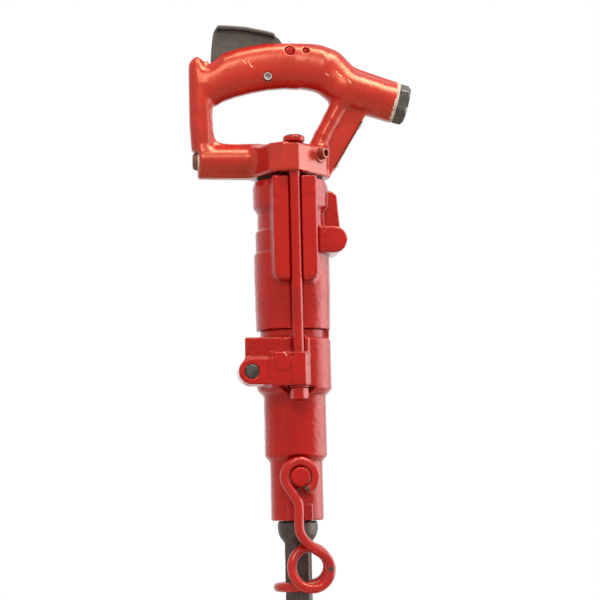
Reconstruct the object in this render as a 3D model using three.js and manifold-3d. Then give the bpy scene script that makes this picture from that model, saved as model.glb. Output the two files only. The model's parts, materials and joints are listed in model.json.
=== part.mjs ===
// Hand-held pneumatic rock drill with a D-handle backhead, a cylinder, a front head and a sprung wire
// steel retainer. Millimetres, +Z up the drill axis, +X towards the air inlet, -Y towards the front rod.
// Heights are worked out upwards from the mouth of the front head. The finished drill is then lowered so
// that the origin lies in the middle of the hand grip.
import * as THREE from 'three';
import { mergeVertices } from 'three/addons/utils/BufferGeometryUtils.js';
import Module from 'manifold-3d';

const wasm = await Module();
wasm.setup();

// Lengths of the casings up the drill axis
const lowHeadLength = 52.5;
const headShoulderLength = 4.5;
const midHeadLength = 54;
const headFlareLength = 7;
const headFlangeLength = 44;
const headNeckLength = 8;
const cylinderLength = 136;
const gasketThickness = 3.5;
const baseHeight = 26.5;
const gripRise = 106;

// Radii of the casings
const lowHeadRadius = 23.6;
const midHeadRadius = 27.9;
const headFlangeRadius = 33.5;
const headNeckRadius = 30;
const neckSideProud = 0.8;
const barrelRadius = 34.3;
const barrelBandRadius = 32.6;
const barrelFootRadius = 33.4;
const barrelTopRadius = 34;
const barrelRecessRadius = 30.4;

// Clearances and cutting overrun
const fitGap = 0.3;
const pinGap = 0.1;
const runningGap = 0.4;
const overrun = 4;
const weldDistance = 0.0001;

// Handle: reach of the left leg from the axis, rise of the grip above the backhead seat
const handleReach = 90;
const handleRise = 125.6;
const handlePlateThickness = 11.6;
const gripHeight = 40;
const gripWidth = 28;
const legWidth = 19.4;
const legDepth = 25;
const landWidth = 8;
const landProud = 2;
const lowerBarRadius = 14.8;
const lowerBarRise = 16.2;
const strutWidth = 14.8;
const strutDepth = 22;
const ribThickness = 16;
const baseHalfWidth = 33;
const baseHalfDepth = 46;
const baseCavityRadius = 22;
const baseCavityDepth = 20.5;
const airPassageRadius = 4.2;

// Inlet boss, its bores and the hose bushing
const inletReach = 99.6;
const inletRise = 70.5;
const inletTiltDegrees = 14.5;
const inletRadius = 17.9;
const inletBoreRadius = 12.5;
const inletBoreDepth = 50;
const downstreamRadius = 6.6;
const downstreamDepth = 8.5;
const bushingHexFlats = 33;
const bushingHexThickness = 10;
const bushingHexTurnDegrees = 0;
const bushingThreadLength = 18;
const bushingBoreRadius = 9.6;
const strainerThickness = 1.6;
const strainerHoleRadius = 1.6;
const strainerHoleCount = 6;

// Throttle lever, its pins and the valve that it pushes
const pivotAcross = 1.3;
const pivotRise = 116.8;
const pivotPinRadius = 3.85;
const restPinAcross = 16;
const restPinRadius = 2.6;
const stopPinAcross = -19.3;
const stopPinRise = 92.6;
const stopPinRadius = 3.6;
const stopPinBore = 2.6;
const crossPinLength = 21;
const stopPinInset = 1.2;
const leverLength = 71.5;
const leverCrown = 23.8;
const leverWebThickness = 11;
const leverRimWidth = 22;
const leverRimThickness = 3.6;
const leverHubRadius = 7.4;
const leverTipRadius = 4;
const leverEndRoom = 2.4;
const slotFall = 3;
const slotWidth = 12.6;
const valveStemRadius = 2.6;
const valveHeadRadius = 8.8;
const valveHeadThickness = 4.6;
const valveSeatThickness = 4;
const valveSeatBore = 6.2;
const springWireRadius = 0.8;
const springRadius = 6.4;
const springTurns = 5;

// Oil plugs, data plate and its drive screws
const reservoirPlugRadius = 7.85;
const reservoirPlugHead = 5.3;
const reservoirPlugRecess = 2;
const reservoirRadius = 7.2;
const reservoirLength = 46;
const oilPlugRadius = 4.6;
const oilPlugAlongShare = 0.71;
const oilPlugLength = 8.5;
const oilPlugSocket = 5.2;
const oilPlugCollarRadius = 7.6;
const oilPlugThread = 8;
const dataPlateThickness = 0.8;
const dataPlateLength = 51;
const driveScrewRadius = 1.9;
const driveScrewHead = 1.1;
const driveScrewSpacing = 41.7;
const dataPlateShift = 4;

// Side rods and nuts
const sideRodReach = 38.5;
const sideRodRadius = 4.8;
const sideRodHeadRadius = 9.75;
const sideRodHeadHeight = 6.4;
const sideRodHeadRim = 1.6;
const sideNutFlats = 14.3;
const sideNutHeight = 10.2;
const sideNutTurnDegrees = 17;
const sideWasherThickness = 1.5;
const sideWasherRadius = 8.4;
const nutPocketRadius = 9.6;

// Pads, groove, exhaust boss and bores of the cylinder
const padHalfWidth = 20;
const padReach = 40.6;
const padFootRise = 42;
const padCornerRadius = 6;
const rodGrooveWidth = 11.6;
const cylinderBore = 22;
const chestBore = 24.3;
const chestDepth = 38;
const exhaustRadius = 12;
const exhaustAcross = 35.7;
const exhaustRise = 80;
const exhaustLeft = 21.5;
const exhaustFront = 29;
const exhaustRear = 14;
const exhaustOutletRadius = 8.4;
const exhaustWall = 4;
const ridgeTopRise = 127;
const ridgeReach = 44;
const ridgeDepth = 18;

// Front head: block, boss, ear, trunnions and pad
const blockReach = 47;
const blockDepth = 34;
const blockRearReach = 31;
const blockRear = 16;
const blockFootRise = 2;
const bossReach = 24.6;
const bossRight = 9.5;
const bossDepth = 48;
const bossHeight = 30;
const bossChamfer = 4.7;
const earAcross = 42;
const earRise = 13;
const earRadius = 11.7;
const earDepth = 44.5;
const earRear = 20;
const lockPinRadius = 6.2;
const lockPinProud = 1;
const trunnionRise = 38.4;
const trunnionRadius = 8.6;
const trunnionReach = 32.6;
const trunnionPocketRadius = 18.8;
const trunnionPocketReach = 23.5;
const mouthPadHalfWidth = 11;
const mouthPadHeight = 14;
const mouthPadReach = 23.3;
const chuckBore = 18.3;
const midHeadBore = 23.2;
const neckBore = 16;

// Wire retainer
const wireRadius = 4.35;
const wireRingRadius = 13.7;
const wireReach = 28.6;
const wireInnerReach = 18.6;
const wireCoilRadius = 16.7;
const wireCoilAcross = 8.7;
const wireCoilDrop = 43.1;
const wireInnerCoilShiftAcross = -1.3;
const wireInnerCoilShiftUp = 2.6;
const wireLegDrop = 58.5;
const wireRearShiftAcross = 4.6;
const wireRearShiftDrop = 40;

// Drill steel
const steelFlats = 22;
const steelTurnDegrees = 11.4;
const shankLength = 82.5;
const collarRadius = 17.85;
const collarLength = 22.5;
const collarBarrel = 11;
const collarTailRadius = 13;
const steelReach = 250;
const steelHoleRadius = 3.3;
const bitWidth = 34;
const bitLength = 26;
const insertThickness = 7;
const insertLength = 9;

// Inside the front head
const chuckHexFlats = 22.6;
const headBushingBore = 16.3;
const headBushingLength = 50;
const chuckRise = 2;
const chuckTopGap = 6;
const chuckFlangeLength = 20;
const chuckUpperRadius = 20;
const thrustWasherThickness = 2;
const chuckNutLength = 22;
const chuckNutRadius = 16.4;
const chuckNutShelf = 7.5;
const splineCount = 6;
const splineWidth = 5;
const splineDepth = 2;

// Piston, rifle bar, pawls and ratchet
const pistonStemRadius = 13;
const pistonStroke = 45;
const pistonHeadLength = 40;
const pistonRestGap = 2.5;
const rifleNutLength = 18;
const rifleNutRadius = 12.4;
const rifleBarRadius = 8.2;
const rifleLobe = 0.8;
const rifleLobes = 4;
const rifleTwistDegreesPerUnit = -0.5;
const rifleBarLength = 92;
const rifleHeadRadius = 16.4;
const rifleHeadLength = 11;
const pawlCount = 4;
const pawlPivotReach = 13.2;
const pawlLength = 8;
const pawlThickness = 3;
const pawlHubRadius = 1.5;
const pawlShelf = 0.6;
const ratchetTeeth = 16;
const ratchetCrest = 17.2;
const ratchetRoot = 19.6;
const ratchetTurnDegrees = 28.8;
const ratchetRadius = 24;
const chestLength = 12;
const chestHubBore = 9.8;
const valvePlateInner = 11;
const valvePlateOuter = 19;
const valvePlateThickness = 1.5;
const valveTravel = 1.8;
const valveCoverLength = 12;
const chestPortRadius = 2;
const chestPortCount = 6;
const chestPortReach = 15;
const bushingSeatDepth = 10;
const cylinderBushingLength = 19.2;
const blowTubeRadius = 2.4;
const blowTubeBore = 1.4;
const blowTubeReach = 7.5;
const gasketInner = 24.7;
const gasketOuter = 29.6;

// Roundness of sections: 2 is an ellipse, a higher power is squarer
const roundPower = 2;
const shoulderPower = 2.1;
const legPower = 2.4;
const gripPower = 2.6;

// Counts of facets
const barrelSides = 40;
const boreSides = 24;
const pinSides = 12;
const smallSides = 8;
const wireSides = 8;
const wireBendSteps = 6;
const sectionSides = 16;
const lobeSides = 20;

// Heights up the axis
const shoulderTop = lowHeadLength + headShoulderLength;
const flareFoot = shoulderTop + midHeadLength;
const flangeFoot = flareFoot + headFlareLength;
const flangeTop = flangeFoot + headFlangeLength;
const headTop = flangeTop + headNeckLength;
const cylinderTop = headTop + cylinderLength;
const backheadSeat = cylinderTop + gasketThickness;
const baseTop = backheadSeat + baseHeight;
const gripCentre = backheadSeat + gripRise;
const cylinderBushingFoot = headTop - bushingSeatDepth + fitGap;
const nutFoot = shankLength + chuckNutShelf;
const chuckTop = nutFoot + chuckNutLength;

function finish(color, roughness, metalness) {
  return new THREE.MeshStandardMaterial({ color, roughness, metalness });
}

const paint = () => finish(0xb9261e, 0.3, 0.1);
const darkSteel = () => finish(0x4a433c, 0.5, 0.7);
const forgedSteel = () => finish(0x4d4238, 0.55, 0.6);
const brightSteel = () => finish(0xb8b8b4, 0.3, 0.9);
const bronze = () => finish(0x9a7a4e, 0.4, 0.8);
const fibre = () => finish(0x2a2523, 0.8, 0);
const brickRed = () => finish(0x8c3626, 0.5, 0.2);

const radians = THREE.MathUtils.degToRad;

// Signed volume of a triangle mesh, above zero where its faces point out
function signedVolume(positions, triangles) {
  const corner = (index) => new THREE.Vector3().fromArray(positions, index * 3);
  let total = 0;
  for (let first = 0; first < triangles.length; first += 3) {
    const a = corner(triangles[first]);
    const b = corner(triangles[first + 1]);
    const c = corner(triangles[first + 2]);
    total += a.dot(b.cross(c)) / 6;
  }
  return total;
}

// Closed solid from a geometry: corners welded, empty triangles dropped, faces turned out
function solidFrom(geometry) {
  const bare = new THREE.BufferGeometry();
  bare.setAttribute('position', geometry.getAttribute('position'));
  bare.setIndex(geometry.getIndex());
  const welded = mergeVertices(bare, weldDistance);
  const positions = new Float32Array(welded.getAttribute('position').array);
  const index = welded.getIndex().array;
  const kept = [];
  for (let first = 0; first < index.length; first += 3) {
    const [a, b, c] = [index[first], index[first + 1], index[first + 2]];
    if (a !== b && b !== c && a !== c) {
      kept.push(a, b, c);
    }
  }
  if (signedVolume(positions, kept) < 0) {
    kept.reverse();
  }
  const triVerts = new Uint32Array(kept);
  const mesh = new wasm.Mesh({ numProp: 3, vertProperties: positions, triVerts });
  return new wasm.Manifold(mesh);
}

function join(first, ...others) {
  return others.reduce((sum, other) => sum.add(other), first);
}

function cut(body, ...tools) {
  return tools.reduce((rest, tool) => rest.subtract(tool), body);
}

// Geometry of a finished solid
function geometryFrom(solid) {
  const mesh = solid.getMesh();
  const geometry = new THREE.BufferGeometry();
  geometry.setAttribute('position', new THREE.BufferAttribute(new Float32Array(mesh.vertProperties), 3));
  geometry.setIndex(new THREE.BufferAttribute(new Uint32Array(mesh.triVerts), 1));
  geometry.computeVertexNormals();
  return geometry;
}

// Body turned about Z from a profile of [radius, height] pairs
function revolve(profile, sides) {
  const points = profile.map(([radius, height]) => new THREE.Vector2(radius, height));
  const geometry = new THREE.LatheGeometry(points, sides);
  geometry.rotateX(Math.PI / 2);
  return solidFrom(geometry);
}

function disc(radius, foot, top, sides) {
  return revolve([[0, foot], [radius, foot], [radius, top], [0, top]], sides);
}

function ring(inner, outer, foot, top, sides) {
  return revolve([[inner, foot], [outer, foot], [outer, top], [inner, top], [inner, foot]], sides);
}

// Prism of a plan outline of [x, y] pairs, between two heights
function planPrism(outline, foot, top) {
  const shape = new THREE.Shape(outline.map(([x, y]) => new THREE.Vector2(x, y)));
  const geometry = new THREE.ExtrudeGeometry(shape, { depth: top - foot, bevelEnabled: false });
  geometry.translate(0, 0, foot);
  return solidFrom(geometry);
}

// Prism of a side outline of [x, z] pairs, between two places along Y, with openings through it
function sidePrism(outline, near, far, openings = []) {
  const corners = outline.map(([x, z]) => new THREE.Vector2(x, z));
  if (THREE.ShapeUtils.isClockWise(corners)) {
    corners.reverse();
  }
  const shape = new THREE.Shape(corners);
  for (const opening of openings) {
    shape.holes.push(new THREE.Path(opening.map(([x, z]) => new THREE.Vector2(x, z))));
  }
  const geometry = new THREE.ExtrudeGeometry(shape, { depth: far - near, bevelEnabled: false });
  geometry.rotateX(Math.PI / 2);
  geometry.translate(0, far, 0);
  return solidFrom(geometry);
}

function box(xNear, xFar, yNear, yFar, foot, top) {
  return planPrism([[xNear, yNear], [xFar, yNear], [xFar, yFar], [xNear, yFar]], foot, top);
}

// Round bar between two points, tapered where the second radius differs
function bar(start, end, radius, sides, endRadius = radius) {
  const along = end.clone().sub(start);
  const geometry = new THREE.CylinderGeometry(endRadius, radius, along.length(), sides);
  const turn = new THREE.Quaternion().setFromUnitVectors(new THREE.Vector3(0, 1, 0), along.normalize());
  geometry.applyQuaternion(turn);
  const middle = start.clone().add(end).multiplyScalar(0.5);
  geometry.translate(middle.x, middle.y, middle.z);
  return solidFrom(geometry);
}

// Round bar along Y through a place in the handle plane
function crossBar(x, z, near, far, radius, sides) {
  return bar(new THREE.Vector3(x, near, z), new THREE.Vector3(x, far, z), radius, sides);
}

// Corners of a regular hexagon of given width across its flats
function hexagon(flats, turnDegrees) {
  const cornerRadius = flats / Math.sqrt(3);
  return [0, 1, 2, 3, 4, 5].map((corner) => {
    const angle = radians(turnDegrees + corner * 60);
    return [cornerRadius * Math.cos(angle), cornerRadius * Math.sin(angle)];
  });
}

// Skin over rings of equal point counts, closed at both ends by a fan about each ring's middle
function loft(rings) {
  const count = rings[0].length;
  const points = rings.flat();
  const middles = [rings[0], rings[rings.length - 1]].map((loop) => {
    const sum = loop.reduce((total, point) => total.add(point), new THREE.Vector3());
    return sum.divideScalar(count);
  });
  const index = [];
  for (let row = 0; row + 1 < rings.length; row += 1) {
    for (let step = 0; step < count; step += 1) {
      const next = (step + 1) % count;
      const [a, b] = [row * count + step, row * count + next];
      const [c, d] = [a + count, b + count];
      index.push(a, b, d, a, d, c);
    }
  }
  const firstMiddle = points.length;
  const lastRow = (rings.length - 1) * count;
  for (let step = 0; step < count; step += 1) {
    const next = (step + 1) % count;
    index.push(firstMiddle, next, step);
    index.push(firstMiddle + 1, lastRow + step, lastRow + next);
  }
  const geometry = new THREE.BufferGeometry().setFromPoints([...points, ...middles]);
  geometry.setIndex(index);
  return solidFrom(geometry);
}

// Ring of a rounded section about a centre
function roundedRing(centre, across, up, halfAcross, halfUp, power, sides) {
  const points = [];
  for (let step = 0; step < sides; step += 1) {
    const angle = (step / sides) * Math.PI * 2;
    const sideways = Math.sign(Math.cos(angle)) * Math.abs(Math.cos(angle)) ** (2 / power);
    const upwards = Math.sign(Math.sin(angle)) * Math.abs(Math.sin(angle)) ** (2 / power);
    const point = centre.clone().addScaledVector(across, sideways * halfAcross);
    points.push(point.addScaledVector(up, upwards * halfUp));
  }
  return points;
}

// Round wire along a list of points, with its section carried along without twist
function wire(points, radius, sides) {
  const rings = [];
  let across = new THREE.Vector3(0, 1, 0);
  points.forEach((point, step) => {
    const before = points[Math.max(step - 1, 0)];
    const after = points[Math.min(step + 1, points.length - 1)];
    const along = after.clone().sub(before).normalize();
    across = across.clone().addScaledVector(along, -across.dot(along)).normalize();
    const up = along.clone().cross(across);
    rings.push(roundedRing(point, across, up, radius, radius, roundPower, sides));
  });
  return loft(rings);
}

// Points of an even curve through a few [x, z] pairs
function curveThrough(pairs, steps) {
  const corners = pairs.map(([x, z]) => new THREE.Vector3(x, 0, z));
  const curve = new THREE.CatmullRomCurve3(corners, false, 'centripetal');
  return curve.getPoints(steps).map((point) => [point.x, point.z]);
}

// Outline round two circles, as of a strap or a lever arm
function strap([ax, az], radiusA, [bx, bz], radiusB) {
  const length = Math.hypot(bx - ax, bz - az);
  const heading = Math.atan2(bz - az, bx - ax);
  const lean = Math.acos((radiusA - radiusB) / length);
  const points = [];
  const arcSteps = 10;
  const addArc = (x, z, radius, from, to) => {
    for (let step = 0; step <= arcSteps; step += 1) {
      const angle = from + ((to - from) * step) / arcSteps;
      points.push([x + radius * Math.cos(angle), z + radius * Math.sin(angle)]);
    }
  };
  addArc(bx, bz, radiusB, heading - lean, heading + lean);
  addArc(ax, az, radiusA, heading + lean, heading - lean + Math.PI * 2);
  return points;
}

// Place in the handle plane from shares of its reach and rise
function onHandle([acrossShare, riseShare]) {
  return [acrossShare * handleReach, backheadSeat + riseShare * handleRise];
}

// Place on the inlet axis, a depth inwards from the inlet face and a lift square to the axis
const inletTilt = radians(inletTiltDegrees);
const inwards = new THREE.Vector3(-Math.cos(inletTilt), 0, Math.sin(inletTilt));
const inletLift = new THREE.Vector3(Math.sin(inletTilt), 0, Math.cos(inletTilt));
const sideways = new THREE.Vector3(0, 1, 0);
const inletFace = new THREE.Vector3(inletReach, 0, backheadSeat + inletRise);

function onInlet(depth, lift = 0) {
  return inletFace.clone().addScaledVector(inwards, depth).addScaledVector(inletLift, lift);
}

function inletBar(from, to, radius, sides) {
  return bar(onInlet(from), onInlet(to), radius, sides);
}

const drill = new THREE.Group();
drill.position.z = -gripCentre;

function addPiece(name, solid, material, group = drill) {
  const mesh = new THREE.Mesh(geometryFrom(solid), material);
  mesh.name = name;
  group.add(mesh);
  return mesh;
}

// Throttle lever pivot, pins and the foot of its arm on the inlet axis
const pivot = [pivotAcross, backheadSeat + pivotRise];
const restPin = [restPinAcross, pivot[1]];
const stopPin = [stopPinAcross, backheadSeat + stopPinRise];
const pivotPoint = new THREE.Vector3(pivot[0], 0, pivot[1]);
const tipDepth = pivotPoint.clone().sub(inletFace).dot(inwards);
const leverTip = onInlet(tipDepth);
const stemEndDepth = tipDepth - leverTipRadius - fitGap;

// Outlines of the handle, as shares of its reach and rise
const legAndLipShares = [
  [-0.978, 0.22], [-0.984, 0.29], [-1, 0.49], [-1.002, 0.69], [-0.998, 0.8], [-0.978, 0.857],
  [-0.927, 0.893], [-0.888, 0.875], [-0.854, 0.858], [-0.811, 0.866], [-0.717, 0.903],
  [-0.587, 0.936], [-0.389, 0.972], [-0.2, 0.996], [0, 1], [0.202, 0.991], [0.333, 0.978],
  [0.457, 0.948], [0.534, 0.91], [0.659, 0.825],
];
const ribEdgeShares = [[0.806, 0.49], [0.44, 0.055]];
const openingTopShares = [
  [-0.789, 0.412], [-0.796, 0.475], [-0.779, 0.519], [-0.739, 0.555], [-0.66, 0.59], [-0.53, 0.623],
  [-0.366, 0.653], [-0.203, 0.675], [-0.028, 0.685], [0.106, 0.68], [0.308, 0.661], [0.406, 0.636],
  [0.438, 0.606], [0.443, 0.576], [0.438, 0.533], [0.4, 0.477], [0.328, 0.373], [0.235, 0.27],
];
const openingFootShares = [
  [0.19, 0.22], [-0.155, 0.22], [-0.333, 0.245], [-0.54, 0.241], [-0.643, 0.246], [-0.706, 0.26],
  [-0.756, 0.291], [-0.781, 0.344],
];

// Grip sections: across share, rise share of the middle, share of the grip's height and of its width
const gripSectionShares = [
  [-0.86, 0.7, 0.7, 0.86], [-0.76, 0.71, 0.92, 0.94], [-0.66, 0.753, 1.03, 1], [-0.53, 0.786, 1.03, 1],
  [-0.366, 0.814, 1.02, 1], [-0.203, 0.834, 1.01, 1], [-0.028, 0.842, 0.99, 1], [0.106, 0.838, 0.99, 1],
  [0.211, 0.831, 1, 1.01], [0.308, 0.819, 1.01, 1.04], [0.4, 0.797, 1.04, 1.1],
];

// Left leg sections: rise share, middle share of the reach, shares of the leg's width and depth
const legSectionShares = [
  [0.215, -0.88, 0.92, 0.94], [0.29, -0.885, 0.95, 0.96], [0.49, -0.893, 1, 1], [0.69, -0.894, 1, 1],
  [0.79, -0.911, 0.89, 0.92], [0.845, -0.924, 0.64, 0.76], [0.875, -0.925, 0.38, 0.5],
  [0.89, -0.927, 0.14, 0.24],
];

// Strut sections: across share, rise share and share of the strut's width
const strutSectionShares = [
  [0.56, 0.62, 1.15], [0.534, 0.55, 1.1], [0.439, 0.432, 1], [0.346, 0.313, 1], [0.27, 0.18, 1.03],
];

const reservoirAxis = backheadSeat + lowerBarRise;
const lowerBarLeft = -handleReach + reservoirPlugHead + reservoirPlugRecess;

function handlePlate() {
  const top = curveThrough(legAndLipShares.map(onHandle), 34);
  const footLeft = reservoirAxis - lowerBarRadius;
  const notchRise = reservoirAxis + lowerBarRadius * 0.64;
  const outline = [
    [lowerBarLeft, footLeft], [lowerBarLeft, notchRise], ...top,
    [onInlet(overrun, inletRadius).x, onInlet(overrun, inletRadius).z],
    [onInlet(overrun, -inletRadius).x, onInlet(overrun, -inletRadius).z],
    ...ribEdgeShares.map(onHandle), [baseHalfWidth, backheadSeat], [-baseHalfWidth, backheadSeat],
  ];
  const opening = [
    ...curveThrough(openingTopShares.map(onHandle), 26),
    ...curveThrough(openingFootShares.map(onHandle), 10),
  ];
  return sidePrism(outline, -handlePlateThickness / 2, handlePlateThickness / 2, [opening]);
}

function grip() {
  const rings = gripSectionShares.map(([across, rise, heightShare, widthShare]) => {
    const [x, z] = onHandle([across, rise]);
    const [halfHeight, halfWidth] = [(heightShare * gripHeight) / 2, (widthShare * gripWidth) / 2];
    return roundedRing(new THREE.Vector3(x, 0, z), sideways, new THREE.Vector3(0, 0, 1),
      halfWidth, halfHeight, gripPower, sectionSides);
  });
  const shoulderDepth = inletBoreDepth - overrun * 2;
  const shoulder = roundedRing(onInlet(shoulderDepth, landProud / 2), sideways, inletLift,
    inletRadius, inletRadius + landProud / 2, shoulderPower, sectionSides);
  const face = roundedRing(onInlet(0), sideways, inletLift,
    inletRadius, inletRadius, roundPower, sectionSides);
  return loft([...rings, shoulder, face]);
}

function leftLeg() {
  return loft(legSectionShares.map(([rise, across, widthShare, depthShare]) => {
    const [x, z] = onHandle([across, rise]);
    return roundedRing(new THREE.Vector3(x, 0, z), new THREE.Vector3(1, 0, 0), sideways,
      (widthShare * legWidth) / 2, (depthShare * legDepth) / 2, legPower, sectionSides);
  }));
}

function strut() {
  const places = strutSectionShares.map((shares) => onHandle(shares));
  const [firstX, firstZ] = places[0];
  const [lastX, lastZ] = places[places.length - 1];
  const along = new THREE.Vector3(lastX - firstX, 0, lastZ - firstZ).normalize();
  const square = new THREE.Vector3(along.z, 0, -along.x);
  return loft(places.map(([x, z], step) => {
    const widthShare = strutSectionShares[step].at(-1);
    return roundedRing(new THREE.Vector3(x, 0, z), square, sideways,
      (widthShare * strutWidth) / 2, strutDepth / 2, roundPower, sectionSides);
  }));
}

const ribFootShares = [[0.4, 0.004], [0.2, 0.004], [0.24, 0.21], [0.38, 0.33], [0.56, 0.57], [0.7, 0.57]];

function rib() {
  const outline = [...ribEdgeShares, ...ribFootShares].map(onHandle);
  return sidePrism(outline, -ribThickness / 2, ribThickness / 2);
}

// Half plan of the backhead base as shares of its half width and half depth
const basePlanShares = [[-1, 0.3], [-0.67, 0.82], [-0.32, 1], [0.09, 1], [1, 0.26]];

function base() {
  const front = basePlanShares.map(([across, depth]) => [across * baseHalfWidth, -depth * baseHalfDepth]);
  const rear = front.map(([x, y]) => [x, -y]).reverse();
  return planPrism([...front, ...rear], backheadSeat, baseTop);
}

// Land along the underside of the grip, square at its right end
function gripLand() {
  const edge = openingTopShares.slice(3, 10).map(onHandle);
  const under = edge.map(([x, z]) => [x, z - landProud]).reverse();
  const inside = edge.map(([x, z]) => [x, z + overrun]);
  return sidePrism([...inside, ...under], -landWidth / 2, landWidth / 2);
}

// Socket-head oil plug on the front right facet of the base
const [facetLeft, facetRight] = basePlanShares.slice(-2).map(([across, depth]) => (
  new THREE.Vector3(across * baseHalfWidth, -depth * baseHalfDepth, 0)
));
const facetAlong = facetRight.clone().sub(facetLeft);
const facetOut = new THREE.Vector3(-facetAlong.y, facetAlong.x, 0).normalize().negate();
const oilPlugFoot = facetLeft.clone().addScaledVector(facetAlong, oilPlugAlongShare);
oilPlugFoot.z = baseTop - oilPlugCollarRadius;

function atOilPlug(out) {
  return oilPlugFoot.clone().addScaledVector(facetOut, out);
}

function leverSlot() {
  const floor = stopPin[1] - stopPinRadius * 0.75;
  const left = pivot[0] - leverLength - leverEndRoom;
  const middle = pivot[0] - leverLength / 2;
  const right = leverTip.x + leverTipRadius * 3;
  const open = backheadSeat + handleRise + leverCrown;
  const tailRight = restPin[0] + restPinRadius * 2;
  const tailFoot = restPin[1] - restPinRadius;
  return sidePrism([
    [left, floor - slotFall], [middle, floor], [right, floor], [right, tailFoot - leverHubRadius],
    [tailRight, tailFoot], [tailRight, open], [left, open],
  ], -slotWidth / 2, slotWidth / 2);
}

function backheadHandle() {
  const barLeft = new THREE.Vector3(lowerBarLeft, 0, reservoirAxis);
  const barRight = new THREE.Vector3(-baseHalfWidth / 2, 0, reservoirAxis);
  const collar = bar(atOilPlug(-overrun), atOilPlug(oilPlugLength / 3), oilPlugCollarRadius, pinSides);
  const body = join(handlePlate(), grip(), leftLeg(), strut(), rib(), base(),
    bar(barLeft, barRight, lowerBarRadius, boreSides), gripLand(), collar);
  const notch = box(-handleReach - legWidth, lowerBarLeft, -legDepth, legDepth,
    backheadSeat - overrun, onHandle(legAndLipShares[0])[1]);
  const through = gripWidth + overrun;
  const cavity = disc(baseCavityRadius, backheadSeat - overrun, backheadSeat + baseCavityDepth, boreSides);
  const blowTubeHole = disc(blowTubeRadius + fitGap, backheadSeat, baseTop - overrun / 2, pinSides);
  const passageStart = onInlet(inletBoreDepth + downstreamDepth - airPassageRadius);
  const strutEnd = onHandle(strutSectionShares.at(-1));
  const passageEnd = new THREE.Vector3(baseCavityRadius - airPassageRadius * 1.5, 0,
    backheadSeat + baseCavityDepth - airPassageRadius);
  const strutPoint = new THREE.Vector3(strutEnd[0], 0, strutEnd[1]);
  const rodHoles = [-sideRodReach, sideRodReach].map((y) => {
    const hole = disc(sideRodRadius + fitGap, backheadSeat - overrun, baseTop + overrun, pinSides);
    return hole.translate([0, y, 0]);
  });
  return cut(body, notch, leverSlot(),
    crossBar(pivot[0], pivot[1], -through, through, pivotPinRadius + pinGap, pinSides),
    crossBar(restPin[0], restPin[1], -through, through, restPinRadius + pinGap, pinSides),
    crossBar(stopPin[0], stopPin[1], -through, through, stopPinRadius + pinGap, pinSides),
    inletBar(-overrun, inletBoreDepth, inletBoreRadius, boreSides),
    inletBar(inletBoreDepth - overrun, inletBoreDepth + downstreamDepth, downstreamRadius, pinSides),
    inletBar(inletBoreDepth, stemEndDepth, valveStemRadius + fitGap, pinSides),
    bar(passageStart, strutPoint, airPassageRadius, smallSides),
    bar(strutPoint, passageEnd, airPassageRadius, smallSides),
    bar(new THREE.Vector3(lowerBarLeft - overrun, 0, reservoirAxis),
      new THREE.Vector3(lowerBarLeft + reservoirLength, 0, reservoirAxis), reservoirRadius, pinSides),
    bar(atOilPlug(-oilPlugThread), atOilPlug(oilPlugLength), oilPlugRadius + fitGap, pinSides),
    cavity, blowTubeHole, ...rodHoles);
}
addPiece('backhead_handle', backheadHandle(), paint());

// Lever side outline about its pivot, as shares of its length and crown height
const leverCrownShares = [
  [-1, -0.285], [-0.993, 0.025], [-0.978, 0.475], [-0.96, 0.8], [-0.92, 0.962], [-0.881, 1],
  [-0.596, 0.954], [-0.432, 0.87], [-0.27, 0.773], [-0.187, 0.697], [-0.157, 0.613], [-0.123, 0.534],
  [-0.092, 0.387], [-0.059, 0.29],
];
const leverFootShares = [[0.02, -0.3], [-0.1, -0.42], [-0.287, -0.65], [-0.55, -0.61], [-0.98, -0.55]];

function onLever([lengthShare, crownShare]) {
  return [pivot[0] + lengthShare * leverLength, pivot[1] + crownShare * leverCrown];
}

function throttleLever() {
  const half = leverWebThickness / 2;
  const web = sidePrism([...leverCrownShares, ...leverFootShares].map(onLever), -half, half);
  const rimTop = leverCrownShares.slice(4, 10).map(onLever);
  const rimFoot = rimTop.map(([x, z]) => [x, z - leverRimThickness]).reverse();
  const rim = sidePrism([...rimTop, ...rimFoot], -leverRimWidth / 2, leverRimWidth / 2);
  const hub = crossBar(pivot[0], pivot[1], -half, half, leverHubRadius, boreSides);
  const tip = [leverTip.x, leverTip.z];
  const arm = sidePrism(strap(pivot, leverHubRadius * 0.8, tip, leverTipRadius), -half, half);
  const tailTop = pivot[1] + restPinRadius * 2.3;
  const tailFoot = restPin[1] + restPinRadius + fitGap;
  const tail = box(pivot[0], restPin[0] + restPinRadius, -half, half, tailFoot, tailTop);
  const bore = crossBar(pivot[0], pivot[1], -half - overrun, half + overrun,
    pivotPinRadius + fitGap, pinSides);
  return cut(join(web, rim, hub, arm, tail), bore);
}
addPiece('throttle_lever', throttleLever(), darkSteel());

const pinHalf = crossPinLength / 2;
addPiece('lever_pivot_pin',
  crossBar(pivot[0], pivot[1], -pinHalf, pinHalf, pivotPinRadius, pinSides), paint());
addPiece('lever_rest_pin',
  crossBar(restPin[0], restPin[1], -pinHalf, pinHalf, restPinRadius, pinSides), paint());
const stopHalf = gripWidth / 2 - stopPinInset;
addPiece('lever_stop_pin', cut(
  crossBar(stopPin[0], stopPin[1], -stopHalf, stopHalf, stopPinRadius, pinSides),
  crossBar(stopPin[0], stopPin[1], -stopHalf - overrun, stopHalf + overrun, stopPinBore, pinSides),
), brightSteel());

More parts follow.
